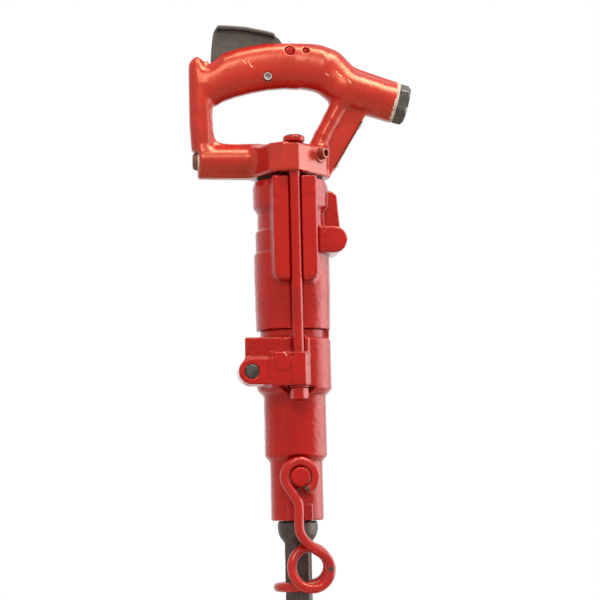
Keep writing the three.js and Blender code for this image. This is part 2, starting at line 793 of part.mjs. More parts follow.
// Throttle valve, seat and spring on the inlet axis
const seatFace = inletBoreDepth - valveSeatThickness;
const valveBack = seatFace - fitGap - valveHeadThickness;
addPiece('throttle_valve', join(
  inletBar(valveBack, seatFace - fitGap, valveHeadRadius, boreSides),
  inletBar(seatFace - valveHeadThickness, stemEndDepth, valveStemRadius, pinSides),
), brightSteel());
addPiece('throttle_valve_seat', cut(
  inletBar(seatFace, inletBoreDepth, inletBoreRadius - fitGap, boreSides),
  inletBar(seatFace - overrun, inletBoreDepth + overrun, valveSeatBore, pinSides),
), bronze());
const strainerInner = bushingThreadLength + fitGap;
const strainerEnd = strainerInner + strainerThickness;

function throttleSpring() {
  const start = strainerEnd + fitGap + springWireRadius;
  const end = valveBack - fitGap - springWireRadius;
  const steps = springTurns * 8;
  const points = [];
  for (let step = 0; step <= steps; step += 1) {
    const share = step / steps;
    const angle = share * springTurns * Math.PI * 2;
    const point = onInlet(start + (end - start) * share, springRadius * Math.sin(angle));
    points.push(point.addScaledVector(sideways, springRadius * Math.cos(angle)));
  }
  return wire(points, springWireRadius, 5);
}
addPiece('throttle_spring', throttleSpring(), brightSteel());

function inletBushing() {
  const hex = planPrism(hexagon(bushingHexFlats, bushingHexTurnDegrees), 0, bushingHexThickness);
  const thread = disc(inletBoreRadius - fitGap, -bushingThreadLength - fitGap, fitGap, boreSides);
  const bore = disc(bushingBoreRadius, -bushingThreadLength - overrun,
    bushingHexThickness + overrun, boreSides);
  return cut(join(hex, thread), bore);
}
const inletGroup = new THREE.Group();
inletGroup.position.copy(onInlet(-fitGap));
inletGroup.rotation.y = Math.PI / 2 + inletTilt;
drill.add(inletGroup);
addPiece('inlet_bushing', inletBushing(), darkSteel(), inletGroup);

function inletStrainer() {
  const holes = [];
  const holeReach = bushingBoreRadius * 0.6;
  for (let step = 0; step < strainerHoleCount; step += 1) {
    const angle = (step / strainerHoleCount) * Math.PI * 2;
    const hole = disc(strainerHoleRadius, -overrun, strainerThickness + overrun, smallSides);
    holes.push(hole.translate([holeReach * Math.cos(angle), holeReach * Math.sin(angle), 0]));
  }
  return cut(disc(inletBoreRadius - fitGap, 0, strainerThickness, boreSides), ...holes);
}
const strainer = addPiece('inlet_strainer', inletStrainer(), bronze(), inletGroup);
strainer.position.z = -strainerEnd;

// Oil reservoir plug at the left end of the lower bar
addPiece('reservoir_plug', join(
  bar(new THREE.Vector3(lowerBarLeft - fitGap - reservoirPlugHead, 0, reservoirAxis),
    new THREE.Vector3(lowerBarLeft - fitGap, 0, reservoirAxis), reservoirPlugRadius, pinSides),
  bar(new THREE.Vector3(lowerBarLeft - reservoirPlugHead / 2, 0, reservoirAxis),
    new THREE.Vector3(lowerBarLeft + reservoirPlugHead * 2, 0, reservoirAxis),
    reservoirRadius - fitGap, pinSides),
), brickRed());

function oilPlug() {
  const body = disc(oilPlugRadius, -oilPlugThread + fitGap, oilPlugLength, pinSides);
  const socket = planPrism(hexagon(oilPlugSocket, 0), oilPlugLength / 2, oilPlugLength + overrun);
  return cut(body, socket);
}
const oilPlugMesh = addPiece('oil_plug', oilPlug(), paint());
oilPlugMesh.position.copy(oilPlugFoot);
oilPlugMesh.quaternion.setFromUnitVectors(new THREE.Vector3(0, 0, 1), facetOut);

// Blank data plate with two drive screws on the slanted edge of the rib
const [ribTop, ribLow] = ribEdgeShares.map(onHandle);
const ribAlong = new THREE.Vector3(ribLow[0] - ribTop[0], 0, ribLow[1] - ribTop[1]).normalize();
const ribOut = new THREE.Vector3(-ribAlong.z, 0, ribAlong.x);
const ribMiddle = new THREE.Vector3((ribTop[0] + ribLow[0]) / 2, 0, (ribTop[1] + ribLow[1]) / 2);
const plateGroup = new THREE.Group();
plateGroup.position.copy(ribMiddle).addScaledVector(ribAlong, dataPlateShift);
plateGroup.quaternion.setFromRotationMatrix(new THREE.Matrix4().makeBasis(
  ribAlong, new THREE.Vector3().crossVectors(ribOut, ribAlong), ribOut));
drill.add(plateGroup);
const plateHalfLength = dataPlateLength / 2;
const plateHalfWidth = ribThickness / 2 - fitGap;
addPiece('data_plate', box(-plateHalfLength, plateHalfLength, -plateHalfWidth, plateHalfWidth,
  fitGap, fitGap + dataPlateThickness), brightSteel(), plateGroup);
const screwFoot = fitGap * 2 + dataPlateThickness;
['upper', 'lower'].forEach((place, step) => {
  const head = revolve([
    [0, 0], [driveScrewRadius, 0], [driveScrewRadius * 0.7, driveScrewHead], [0, driveScrewHead],
  ], pinSides);
  const screw = addPiece(`drive_screw_${place}`, head, brightSteel(), plateGroup);
  screw.position.set((step - 0.5) * driveScrewSpacing, 0, screwFoot);
});

// Gasket between the backhead and the cylinder
addPiece('backhead_gasket', ring(gasketInner, gasketOuter, cylinderTop, backheadSeat, boreSides), fibre());

// Cylinder: barrel profile in shares of its length and its own radii
const chestFoot = cylinderTop - chestDepth;

function barrel() {
  const up = (share) => headTop + share * cylinderLength;
  return revolve([
    [0, up(0)], [barrelFootRadius, up(0)], [barrelRadius, up(0.28)], [barrelRadius, up(0.505)],
    [barrelBandRadius, up(0.53)], [barrelBandRadius, up(0.655)], [barrelRecessRadius, up(0.68)],
    [barrelRecessRadius, up(0.78)], [barrelTopRadius, up(0.84)], [barrelRadius, up(0.96)],
    [barrelBandRadius, up(1)], [0, up(1)],
  ], barrelSides);
}

function padOutline() {
  const foot = headTop + padFootRise;
  const corner = padCornerRadius;
  const points = [[-padHalfWidth, cylinderTop]];
  const arcSteps = 5;
  [[-1, Math.PI], [1, Math.PI * 1.5]].forEach(([side, from]) => {
    for (let step = 0; step <= arcSteps; step += 1) {
      const angle = from + (step / arcSteps) * (Math.PI / 2);
      points.push([
        side * (padHalfWidth - corner) + corner * Math.cos(angle),
        foot + corner + corner * Math.sin(angle),
      ]);
    }
  });
  points.push([padHalfWidth, cylinderTop]);
  return points;
}

function exhaustBoss() {
  const centreHeight = headTop + exhaustRise;
  const round = crossBar(exhaustAcross, centreHeight, -exhaustFront, exhaustRear, exhaustRadius, boreSides);
  const root = box(exhaustLeft, exhaustAcross, -exhaustFront, exhaustRear,
    centreHeight - exhaustRadius, centreHeight + exhaustRadius);
  const ridgeTop = headTop + ridgeTopRise;
  const ridge = sidePrism([
    [barrelRadius / 2, centreHeight], [ridgeReach, centreHeight],
    [ridgeReach, centreHeight + exhaustRadius],
    [exhaustAcross + exhaustRadius / 2, ridgeTop - exhaustRadius / 3],
    [barrelRadius + exhaustRadius / 5, ridgeTop],
    [barrelRadius / 2, ridgeTop],
  ], -ridgeDepth / 2, ridgeDepth / 2);
  return join(round, root, ridge);
}

function cylinder() {
  const centreHeight = headTop + exhaustRise;
  const padOut = barrelRadius / 2;
  const grooveHalf = rodGrooveWidth / 2;
  const grooveFloor = sideRodReach - grooveHalf;
  const body = join(barrel(), exhaustBoss(),
    sidePrism(padOutline(), -padReach, -padOut), sidePrism(padOutline(), padOut, padReach));
  const grooves = [-1, 1].map((side) => {
    const near = Math.min(side * grooveFloor, side * (padReach + overrun));
    const far = Math.max(side * grooveFloor, side * (padReach + overrun));
    return box(-grooveHalf, grooveHalf, near, far, headTop - overrun, cylinderTop + overrun);
  });
  const portHalf = exhaustOutletRadius * 0.7;
  return cut(body, ...grooves,
    disc(cylinderBore, headTop - overrun, cylinderTop, boreSides),
    disc(chestBore, chestFoot, cylinderTop + overrun, boreSides),
    crossBar(exhaustAcross, centreHeight, -exhaustFront + exhaustWall, exhaustRear + overrun,
      exhaustOutletRadius, pinSides),
    box(0, exhaustAcross, -portHalf, portHalf, centreHeight - portHalf, centreHeight + portHalf));
}
addPiece('cylinder', cylinder(), paint());

// Front head
function frontHead() {
  const body = revolve([
    [0, 0], [lowHeadRadius, 0], [lowHeadRadius, lowHeadLength], [midHeadRadius, shoulderTop],
    [midHeadRadius, flareFoot], [headFlangeRadius, flangeFoot], [headFlangeRadius, flangeTop],
    [headNeckRadius, flangeTop], [headNeckRadius, headTop], [0, headTop],
  ], barrelSides);
  const foot = flangeFoot + blockFootRise;
  const block = planPrism([
    [-blockReach, -blockDepth], [bossRight, -blockDepth],
    [bossRight, blockRear], [-blockRearReach, blockRear],
  ], foot, flangeTop);
  const boss = planPrism([
    [-bossReach, -bossDepth], [bossRight - bossChamfer, -bossDepth],
    [bossRight, -bossDepth + bossChamfer * 1.6], [bossRight, bossDepth - bossChamfer * 1.6],
    [bossRight - bossChamfer, bossDepth], [-bossReach, bossDepth],
  ], flangeFoot, flangeFoot + bossHeight);
  const earHeight = flangeFoot + earRise;
  const ear = sidePrism(strap([-earAcross, earHeight], earRadius,
    [-bossReach + earRadius, earHeight], earRadius), -earDepth, -earRear);
  const neckHalf = headNeckRadius / 2;
  const sideFill = box(0, headNeckRadius + neckSideProud, -neckHalf, neckHalf, flangeTop, headTop);
  const mouthPad = box(-mouthPadHalfWidth, mouthPadHalfWidth, -mouthPadReach, mouthPadReach,
    0, mouthPadHeight);
  const pockets = [-1, 1].map((side) => {
    const [near, far] = [side * trunnionPocketReach, side * (midHeadRadius + overrun * 2)];
    return crossBar(0, trunnionRise, Math.min(near, far), Math.max(near, far),
      trunnionPocketRadius, boreSides);
  });
  const trunnions = crossBar(0, trunnionRise, -trunnionReach, trunnionReach, trunnionRadius, boreSides);
  const nutPockets = [-1, 1].map((side) => {
    const pocket = disc(nutPocketRadius, flareFoot - sideNutHeight, flangeFoot, pinSides);
    return pocket.translate([0, side * sideRodReach, 0]);
  });
  const rodHoles = [-1, 1].map((side) => {
    const hole = disc(sideRodRadius + fitGap, flareFoot, flangeTop + overrun, pinSides);
    return hole.translate([0, side * sideRodReach, 0]);
  });
  const slotFoot = flangeFoot + bossHeight;
  const slotHalf = rodGrooveWidth / 2;
  const slots = [-1, 1].map((side) => {
    const [near, far] = [side * (sideRodReach - slotHalf), side * (bossDepth + overrun)];
    return box(-slotHalf, slotHalf, Math.min(near, far), Math.max(near, far), slotFoot, headTop + overrun);
  });
  const shell = cut(join(body, block, boss, ear, sideFill, mouthPad), ...pockets);
  return cut(join(shell, trunnions), ...nutPockets, ...rodHoles, ...slots,
    disc(chuckBore, -overrun, shoulderTop, boreSides),
    disc(midHeadBore, shoulderTop, chuckTop + chuckTopGap, boreSides),
    disc(neckBore, chuckTop, headTop, boreSides),
    disc(cylinderBore, cylinderBushingFoot - fitGap, headTop + overrun, boreSides),
    crossBar(-earAcross, earHeight, -earDepth - overrun, blockRear + overrun,
      lockPinRadius + pinGap, pinSides));
}
addPiece('front_head', frontHead(), paint());
addPiece('lock_pin', crossBar(-earAcross, flangeFoot + earRise,
  -earDepth - lockPinProud, -earRear + lockPinProud, lockPinRadius, pinSides), darkSteel());

// Side rods, washers and nuts, front and rear
const rodFoot = flangeFoot - sideWasherThickness - sideNutHeight;

function sideRod() {
  const headFoot = baseTop + fitGap;
  const rimTop = headFoot + sideRodHeadRim;
  const shaft = disc(sideRodRadius, rodFoot, rimTop, pinSides);
  const top = headFoot + sideRodHeadHeight;
  const head = revolve([
    [0, headFoot], [sideRodHeadRadius, headFoot], [sideRodHeadRadius, rimTop],
    [sideRodHeadRadius * 0.86, rimTop + (top - rimTop) * 0.48],
    [sideRodHeadRadius * 0.6, rimTop + (top - rimTop) * 0.8],
    [sideRodHeadRadius * 0.3, rimTop + (top - rimTop) * 0.96], [0, top],
  ], pinSides);
  return join(shaft, head);
}

function sideNut() {
  const body = planPrism(hexagon(sideNutFlats, sideNutTurnDegrees), 0, sideNutHeight - fitGap);
  return cut(body, disc(sideRodRadius + pinGap, -overrun, sideNutHeight + overrun, pinSides));
}
[['front', -1], ['rear', 1]].forEach(([place, side]) => {
  const group = new THREE.Group();
  group.position.y = side * sideRodReach;
  drill.add(group);
  addPiece(`side_rod_${place}`, sideRod(), paint(), group);
  const washer = addPiece(`side_rod_washer_${place}`,
    ring(sideRodRadius + fitGap, sideWasherRadius, 0, sideWasherThickness - fitGap, pinSides),
    paint(), group);
  washer.position.z = flangeFoot - sideWasherThickness;
  const nut = addPiece(`side_rod_nut_${place}`, sideNut(), paint(), group);
  nut.position.z = rodFoot;
});

// Wire retainer: ring round the trunnion, arm, coil of nearly one and a half turns, leg and U-bend
const armShares = [
  [-0.49, -1.1], [-0.16, -1.67], [-0.11, -2.2], [-0.14, -2.85], [-0.12, -3.4], [-0.02, -3.86], [0.2, -4.35],
];

function retainerHalf() {
  const points = [];
  const place = (x, y, z) => points.push(new THREE.Vector3(x, y, z));
  const ringSteps = 16;
  const [ringStart, ringEnd] = [radians(-60), radians(212)];
  for (let step = 0; step <= ringSteps; step += 1) {
    const angle = ringStart + ((ringEnd - ringStart) * step) / ringSteps;
    place(wireRingRadius * Math.cos(angle), -wireReach, trunnionRise + wireRingRadius * Math.sin(angle));
  }
  armShares.forEach(([across, along]) => {
    place(across * wireRingRadius, -wireReach, trunnionRise + along * wireRingRadius);
  });
  const coilSteps = 34;
  const [coilStart, coilEnd] = [radians(66), radians(-446)];
  const [rampStart, rampEnd] = [radians(-95), radians(-290)];
  for (let step = 0; step <= coilSteps; step += 1) {
    const angle = coilStart + ((coilEnd - coilStart) * step) / coilSteps;
    const ramp = THREE.MathUtils.smoothstep(-angle, -rampStart, -rampEnd);
    const x = wireCoilAcross + ramp * wireInnerCoilShiftAcross + wireCoilRadius * Math.cos(angle);
    const z = -wireCoilDrop + ramp * wireInnerCoilShiftUp + wireCoilRadius * Math.sin(angle);
    place(x, -wireReach + ramp * (wireReach - wireInnerReach), z);
  }
  place(0, -wireInnerReach, -wireLegDrop);
  for (let step = 1; step < wireBendSteps; step += 1) {
    const angle = (step / wireBendSteps) * (Math.PI / 2);
    place(-wireInnerReach * Math.sin(angle), -wireInnerReach * Math.cos(angle), -wireLegDrop);
  }
  return points;
}

const retainerPoints = retainerHalf();
const bendTip = new THREE.Vector3(-wireInnerReach, 0, -wireLegDrop);
const retainerLegStart = retainerPoints.length - wireBendSteps;
// Rear half: the front one mirrored, with its coil shifted across
const retainerMirror = retainerPoints
  .map((point, step) => {
    const drop = trunnionRise - point.z;
    const fall = THREE.MathUtils.smoothstep(drop, wireRingRadius, wireRearShiftDrop);
    const across = step < retainerLegStart ? fall * wireRearShiftAcross : 0;
    return new THREE.Vector3(point.x + across, -point.y, point.z);
  })
  .reverse();
const retainerPath = [...retainerPoints, bendTip, ...retainerMirror];

// Least gap of the wire to itself between points that lie apart along it
function leastGap(path, radius) {
  const reach = radius * 5;
  const travelled = [0];
  path.slice(1).forEach((point, step) => travelled.push(travelled[step] + point.distanceTo(path[step])));
  let least = Infinity;
  path.forEach((point, first) => {
    path.forEach((other, second) => {
      if (travelled[second] - travelled[first] > reach) {
        least = Math.min(least, point.distanceTo(other) - radius * 2);
      }
    });
  });
  return least;
}
console.log('least gap of the retainer wire to itself', leastGap(retainerPath, wireRadius).toFixed(2));
addPiece('steel_retainer', wire(retainerPath, wireRadius, wireSides), paint());

// Drill steel: hexagon with a forged collar and a chisel end that holds a carbide insert
function drillSteel() {
  const hex = planPrism(hexagon(steelFlats, steelTurnDegrees), -steelReach, shankLength);
  const collar = revolve([
    [0, -fitGap], [collarRadius * 0.93, -fitGap], [collarRadius, -collarBarrel / 4],
    [collarRadius, -collarBarrel],
    [collarTailRadius, -collarLength], [0, -collarLength],
  ], boreSides);
  const bitFoot = -steelReach;
  const halfBit = bitWidth / 2;
  const bit = bar(new THREE.Vector3(0, 0, bitFoot), new THREE.Vector3(0, 0, bitFoot + bitLength), halfBit,
    boreSides, steelFlats / 2);
  const seat = box(-bitWidth, bitWidth, -insertThickness / 2 - fitGap, insertThickness / 2 + fitGap,
    bitFoot - overrun, bitFoot + insertLength);
  return cut(join(hex, collar, bit), seat,
    disc(steelHoleRadius, bitFoot - overrun, shankLength + overrun, pinSides));
}
addPiece('drill_steel', drillSteel(), forgedSteel());
const insertHalf = insertThickness / 2;
const insertFoot = -steelReach - insertHalf;
const insertTop = -steelReach + insertLength - fitGap;
const insertReach = bitWidth / 2 - fitGap;
addPiece('carbide_insert', sidePrism([
  [-insertReach, -steelReach], [0, insertFoot], [insertReach, -steelReach],
  [insertReach, insertTop], [-insertReach, insertTop],
], -insertHalf, insertHalf), brightSteel());

// Chuck and its bearings in the front head
addPiece('front_head_bushing',
  ring(headBushingBore, chuckBore - fitGap, fitGap, headBushingLength, boreSides), bronze());
const washerTop = shoulderTop + fitGap + thrustWasherThickness;
addPiece('chuck_thrust_washer',
  ring(headBushingBore, midHeadBore - fitGap, shoulderTop + fitGap, washerTop, boreSides), bronze());

function chuck() {
  const low = headBushingBore - fitGap;
  const flangeFootHeight = washerTop + fitGap;
  const flangeTopHeight = flangeFootHeight + chuckFlangeLength;
  const body = revolve([
    [0, chuckRise], [low, chuckRise], [low, flangeFootHeight], [midHeadBore - runningGap, flangeFootHeight],
    [midHeadBore - runningGap, flangeTopHeight], [chuckUpperRadius, flangeTopHeight],
    [chuckUpperRadius, chuckTop],
    [0, chuckTop],
  ], boreSides);
  return cut(body, planPrism(hexagon(chuckHexFlats, steelTurnDegrees), -overrun, shankLength + fitGap),
    disc(chuckNutRadius + fitGap, shankLength, chuckTop + overrun, boreSides));
}
addPiece('chuck', chuck(), darkSteel());

// Straight ridges that turn the piston with the chuck nut
function splineBars(near, far, width, foot, top) {
  const bars = [];
  for (let step = 0; step < splineCount; step += 1) {
    const tooth = box(near, far, -width / 2, width / 2, foot, top);
    bars.push(tooth.rotate([0, 0, (step / splineCount) * 360]));
  }
  return bars;
}
const nutBore = pistonStemRadius + fitGap;
addPiece('chuck_nut', join(
  ring(nutBore, chuckNutRadius, nutFoot, chuckTop, boreSides),
  ...splineBars(pistonStemRadius - splineDepth + fitGap, (nutBore + chuckNutRadius) / 2,
    splineWidth - fitGap * 2, nutFoot, chuckTop),
), bronze());

// Piston with its rifle nut, driven down on the steel
const strikeHeight = shankLength + fitGap;
const pistonHeadFoot = cylinderBushingFoot + cylinderBushingLength + pistonRestGap;
const pistonTop = pistonHeadFoot + pistonHeadLength;
const rifleBarTop = chestFoot + chestLength + valveCoverLength + fitGap;
const rifleBarFoot = rifleBarTop - rifleBarLength;
const nutCounterbore = pistonTop - rifleNutLength;

function piston() {
  const body = revolve([
    [0, strikeHeight], [pistonStemRadius, strikeHeight], [pistonStemRadius, pistonHeadFoot],
    [cylinderBore - fitGap, pistonHeadFoot], [cylinderBore - fitGap, pistonTop], [0, pistonTop],
  ], boreSides);
  const grooveTop = cylinderBushingFoot - pistonStroke / 2;
  return cut(body,
    ...splineBars(pistonStemRadius - splineDepth, pistonStemRadius + overrun,
      splineWidth, strikeHeight - overrun, grooveTop),
    disc(rifleNutRadius + fitGap, nutCounterbore, pistonTop + overrun, boreSides),
    disc(rifleBarRadius + rifleLobe + runningGap,
      rifleBarFoot - pistonStroke - overrun, pistonTop, boreSides),
    disc(steelHoleRadius, strikeHeight - overrun, pistonTop, pinSides));
}
addPiece('piston', piston(), brightSteel());

// Lobed section twisted along Z
function lobedLoft(radius, lobe, foot, top) {
  const rings = [];
  const steps = Math.ceil((top - foot) / (rifleBarRadius * 1.5));
  for (let row = 0; row <= steps; row += 1) {
    const height = foot + ((top - foot) * row) / steps;
    const twist = radians(rifleTwistDegreesPerUnit * (height - rifleBarFoot));
    const points = [];
    for (let step = 0; step < lobeSides; step += 1) {
      const angle = (step / lobeSides) * Math.PI * 2;
      const reach = radius + lobe * Math.cos(angle * rifleLobes);
      const turned = angle + twist;
      points.push(new THREE.Vector3(reach * Math.cos(turned), reach * Math.sin(turned), height));
    }
    rings.push(points);
  }
  return loft(rings);
}
addPiece('rifle_nut', cut(
  disc(rifleNutRadius, nutCounterbore + fitGap, pistonTop - fitGap, boreSides),
  lobedLoft(rifleBarRadius + runningGap, rifleLobe, nutCounterbore - overrun, pistonTop + overrun),
), bronze());

// Rifle bar: a lobed bar under a round head that carries the pawls
const pawlFoot = rifleBarTop + pawlShelf + fitGap;
const pawlTop = rifleBarTop + rifleHeadLength - pawlShelf;
const pawlTurnDegrees = (step) => (step / pawlCount) * 360;

function rifleBar() {
  const head = disc(rifleHeadRadius, rifleBarTop, rifleBarTop + rifleHeadLength, boreSides);
  const hub = disc(chestHubBore - runningGap, rifleBarTop - chestLength, rifleBarTop + fitGap, boreSides);
  const pockets = [];
  for (let step = 0; step < pawlCount; step += 1) {
    const [floor, open] = [pawlFoot - fitGap, rifleBarTop + rifleHeadLength + overrun];
    const hubHole = disc(pawlHubRadius + fitGap, floor, open, pinSides);
    const room = box(-pawlHubRadius - fitGap, rifleHeadRadius, 0, pawlLength + fitGap * 2, floor, open);
    const pocket = join(hubHole, room).translate([pawlPivotReach, 0, 0]);
    pockets.push(pocket.rotate([0, 0, pawlTurnDegrees(step)]));
  }
  return cut(join(head, hub, lobedLoft(rifleBarRadius, rifleLobe, rifleBarFoot, rifleBarTop)), ...pockets,
    disc(blowTubeRadius + fitGap,
      rifleBarFoot - overrun, rifleBarTop + rifleHeadLength + overrun, pinSides));
}
addPiece('rifle_bar', rifleBar(), darkSteel());

function pawl() {
  const hub = disc(pawlHubRadius, pawlFoot, pawlTop, pinSides);
  const half = pawlThickness / 2;
  const arm = box(-half, half, 0, pawlLength, pawlFoot, pawlTop);
  return join(hub, arm);
}
for (let step = 0; step < pawlCount; step += 1) {
  const group = new THREE.Group();
  group.rotation.z = radians(pawlTurnDegrees(step));
  drill.add(group);
  const mesh = addPiece(`pawl_${step + 1}`, pawl(), brightSteel(), group);
  mesh.position.x = pawlPivotReach;
}

// Ratchet ring: each tooth rises from its root to its crest and drops at a steep face
function ratchetRing() {
  const toothPitch = 360 / ratchetTeeth;
  const points = [];
  for (let tooth = 0; tooth < ratchetTeeth; tooth += 1) {
    const turn = tooth * toothPitch + ratchetTurnDegrees;
    points.push([ratchetRoot, turn - toothPitch * 0.12], [ratchetCrest, turn]);
    points.push([(ratchetCrest + ratchetRoot) / 2, turn + toothPitch * 0.44]);
  }
  const outline = points.map(([reach, turn]) => {
    const angle = radians(turn);
    return [reach * Math.cos(angle), reach * Math.sin(angle)];
  });
  const top = backheadSeat - fitGap;
  return cut(disc(ratchetRadius, rifleBarTop, top, boreSides),
    planPrism(outline, rifleBarTop - overrun, top + overrun));
}
addPiece('ratchet_ring', ratchetRing(), darkSteel());

// Valve chest, plate and cover round the rifle bar
function portHoles(foot, top) {
  const holes = [];
  for (let step = 0; step < chestPortCount; step += 1) {
    const angle = (step / chestPortCount) * Math.PI * 2;
    const hole = disc(chestPortRadius, foot, top, smallSides);
    holes.push(hole.translate([chestPortReach * Math.cos(angle), chestPortReach * Math.sin(angle), 0]));
  }
  return holes;
}
const chestTop = chestFoot + chestLength;
const plateRoom = valvePlateThickness + valveTravel + fitGap;
addPiece('valve_chest', cut(
  ring(chestHubBore, chestBore - fitGap, chestFoot + fitGap, chestTop, boreSides),
  ring(valvePlateInner - fitGap, valvePlateOuter + fitGap,
    chestTop - plateRoom, chestTop + overrun, boreSides),
  ...portHoles(chestFoot - overrun, chestTop),
), bronze());
addPiece('valve_plate', ring(valvePlateInner, valvePlateOuter, chestTop - plateRoom + fitGap,
  chestTop - plateRoom + fitGap + valvePlateThickness, boreSides), brightSteel());
addPiece('valve_cover', cut(
  ring(chestHubBore, chestBore - fitGap, chestTop + fitGap, chestTop + valveCoverLength, boreSides),
  ...portHoles(chestTop, chestTop + valveCoverLength + overrun),
), bronze());

// Front washer of the cylinder, round the piston stem
addPiece('cylinder_bushing', ring(pistonStemRadius + runningGap, cylinderBore - fitGap, cylinderBushingFoot,
  cylinderBushingFoot + cylinderBushingLength, boreSides), bronze());

// Blow tube from the backhead through the rifle bar and the piston into the steel
const blowTubeTop = baseTop - overrun / 2 - fitGap;
addPiece('blow_tube',
  ring(blowTubeBore, blowTubeRadius, shankLength - blowTubeReach, blowTubeTop, pinSides), brightSteel());

export default drill;
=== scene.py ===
"""Hand-held pneumatic rock drill: smooth castings, turned parts, bent wire and procedural finishes.

Shapes are worked out in millimetres, in a frame whose origin is the middle of the front head's mouth with
+Z up the drill axis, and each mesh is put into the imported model's frame, in metres, when it is made.
"""

import json
import math
from types import SimpleNamespace

import bpy
import numpy as np
from bpy.props import FloatProperty, FloatVectorProperty, PointerProperty
from mathutils import Matrix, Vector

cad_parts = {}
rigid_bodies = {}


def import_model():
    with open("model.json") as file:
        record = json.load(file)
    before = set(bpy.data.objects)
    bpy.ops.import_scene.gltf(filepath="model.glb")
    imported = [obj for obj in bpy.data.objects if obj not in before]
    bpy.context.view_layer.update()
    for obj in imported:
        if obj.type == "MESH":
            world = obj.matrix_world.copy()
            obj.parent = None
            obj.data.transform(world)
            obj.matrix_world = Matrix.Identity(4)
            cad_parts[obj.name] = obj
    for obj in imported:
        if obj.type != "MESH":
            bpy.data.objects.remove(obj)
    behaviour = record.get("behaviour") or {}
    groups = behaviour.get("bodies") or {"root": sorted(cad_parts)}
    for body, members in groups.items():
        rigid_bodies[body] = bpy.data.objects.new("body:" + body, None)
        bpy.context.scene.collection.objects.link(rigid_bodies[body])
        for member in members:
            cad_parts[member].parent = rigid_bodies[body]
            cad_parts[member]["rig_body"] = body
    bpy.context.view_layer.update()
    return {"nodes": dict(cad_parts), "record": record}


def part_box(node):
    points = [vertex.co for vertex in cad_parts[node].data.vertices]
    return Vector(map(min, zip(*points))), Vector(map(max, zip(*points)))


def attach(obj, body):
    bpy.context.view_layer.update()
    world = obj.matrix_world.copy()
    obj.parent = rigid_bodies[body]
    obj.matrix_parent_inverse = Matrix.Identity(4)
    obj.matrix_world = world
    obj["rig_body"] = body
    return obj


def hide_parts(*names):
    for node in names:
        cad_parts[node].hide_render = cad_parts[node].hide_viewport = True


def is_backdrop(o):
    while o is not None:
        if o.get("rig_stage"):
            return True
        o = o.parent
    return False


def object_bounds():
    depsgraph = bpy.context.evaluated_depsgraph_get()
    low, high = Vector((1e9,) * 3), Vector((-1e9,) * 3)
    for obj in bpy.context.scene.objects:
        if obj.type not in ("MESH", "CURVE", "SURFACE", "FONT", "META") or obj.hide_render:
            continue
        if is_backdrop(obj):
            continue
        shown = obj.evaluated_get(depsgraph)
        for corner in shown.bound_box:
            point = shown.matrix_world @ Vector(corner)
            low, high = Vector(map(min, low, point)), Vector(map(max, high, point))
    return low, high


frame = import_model()

bl_info = {
    "name": "Rock Drill",
    "version": (1, 0, 0),
    "blender": (4, 5, 0),
    "location": "View3D > Sidebar > Rock Drill",
    "description": "Builds a hand-held pneumatic rock drill around its packed frame",
    "category": "Add Mesh",
}

# Metres in a millimetre, and the mouth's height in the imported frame, in metres
MM = 0.001
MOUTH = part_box("front_head")[0].z


def span(node):
    """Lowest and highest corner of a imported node, in millimetres above the mouth."""
    low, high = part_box(node)
    lift = np.array([0.0, 0.0, MOUTH])
    return (np.array(low) - lift) / MM, (np.array(high) - lift) / MM


# Heights of the casings, from the frame
HEAD_TOP = span("front_head")[1][2]
CYLINDER_TOP = span("cylinder")[1][2]
SEAT = span("backhead_handle")[0][2]
STEEL_FOOT = span("drill_steel")[0][2]
STEEL_TOP = span("drill_steel")[1][2]

# How far a cutter starts outside the face it opens, and half the length of one that goes right through
OVERSHOOT = 4.0
THROUGH = 40.0
# Play round a pin, rod or sleeve in its hole
PLAY = 0.3
SLEEVE_PLAY = 0.2

# Handle
REACH = 90.0
RISE = 125.6
PLATE_HALF = 5.8
GRIP_HALF_HEIGHT = 20.0
GRIP_HALF_WIDTH = 14.0
LEG_HALF_WIDTH = 9.7
LEG_HALF_DEPTH = 12.5
LOWER_BAR_RISE = 16.2
LOWER_BAR_RADIUS = 14.8
LOWER_BAR_LEFT = -82.7
STRUT_HALF_WIDTH = 7.4
STRUT_HALF_DEPTH = 11.0
RIB_HALF = 6.8
LAND_HALF = 4.0
LAND_PROUD = 2.0
LAND_ROOT = 4.0
BASE_HALF_WIDTH = 33.0
BASE_HALF_DEPTH = 46.0
BASE_HEIGHT = 26.5
BASE_TOP = SEAT + BASE_HEIGHT
BASE_CAVITY_RADIUS = 22.0
BASE_CAVITY_DEPTH = 20.5
RESERVOIR_BORE_RADIUS = 7.2
RESERVOIR_BORE_DEPTH = 40.0
RESERVOIR_NECK_RADIUS = 7.0
SEALANT_PROUD = 1.6

# Inlet boss, along an axis that falls to the right
INLET_REACH = 99.6
INLET_RISE = 70.5
INLET_TILT = math.radians(14.5)
INLET_RADIUS = 17.9
INLET_BORE_RADIUS = 12.5
INLET_BORE_DEPTH = 50.0
AIR_PASSAGE_RADIUS = 2.9
AIR_PASSAGE_LENGTH = 40.0
BUSHING_FLATS = 33.0
BUSHING_THICKNESS = 10.0
BUSHING_BORE_RADIUS = 9.6
BUSHING_INSERTION = 18.0

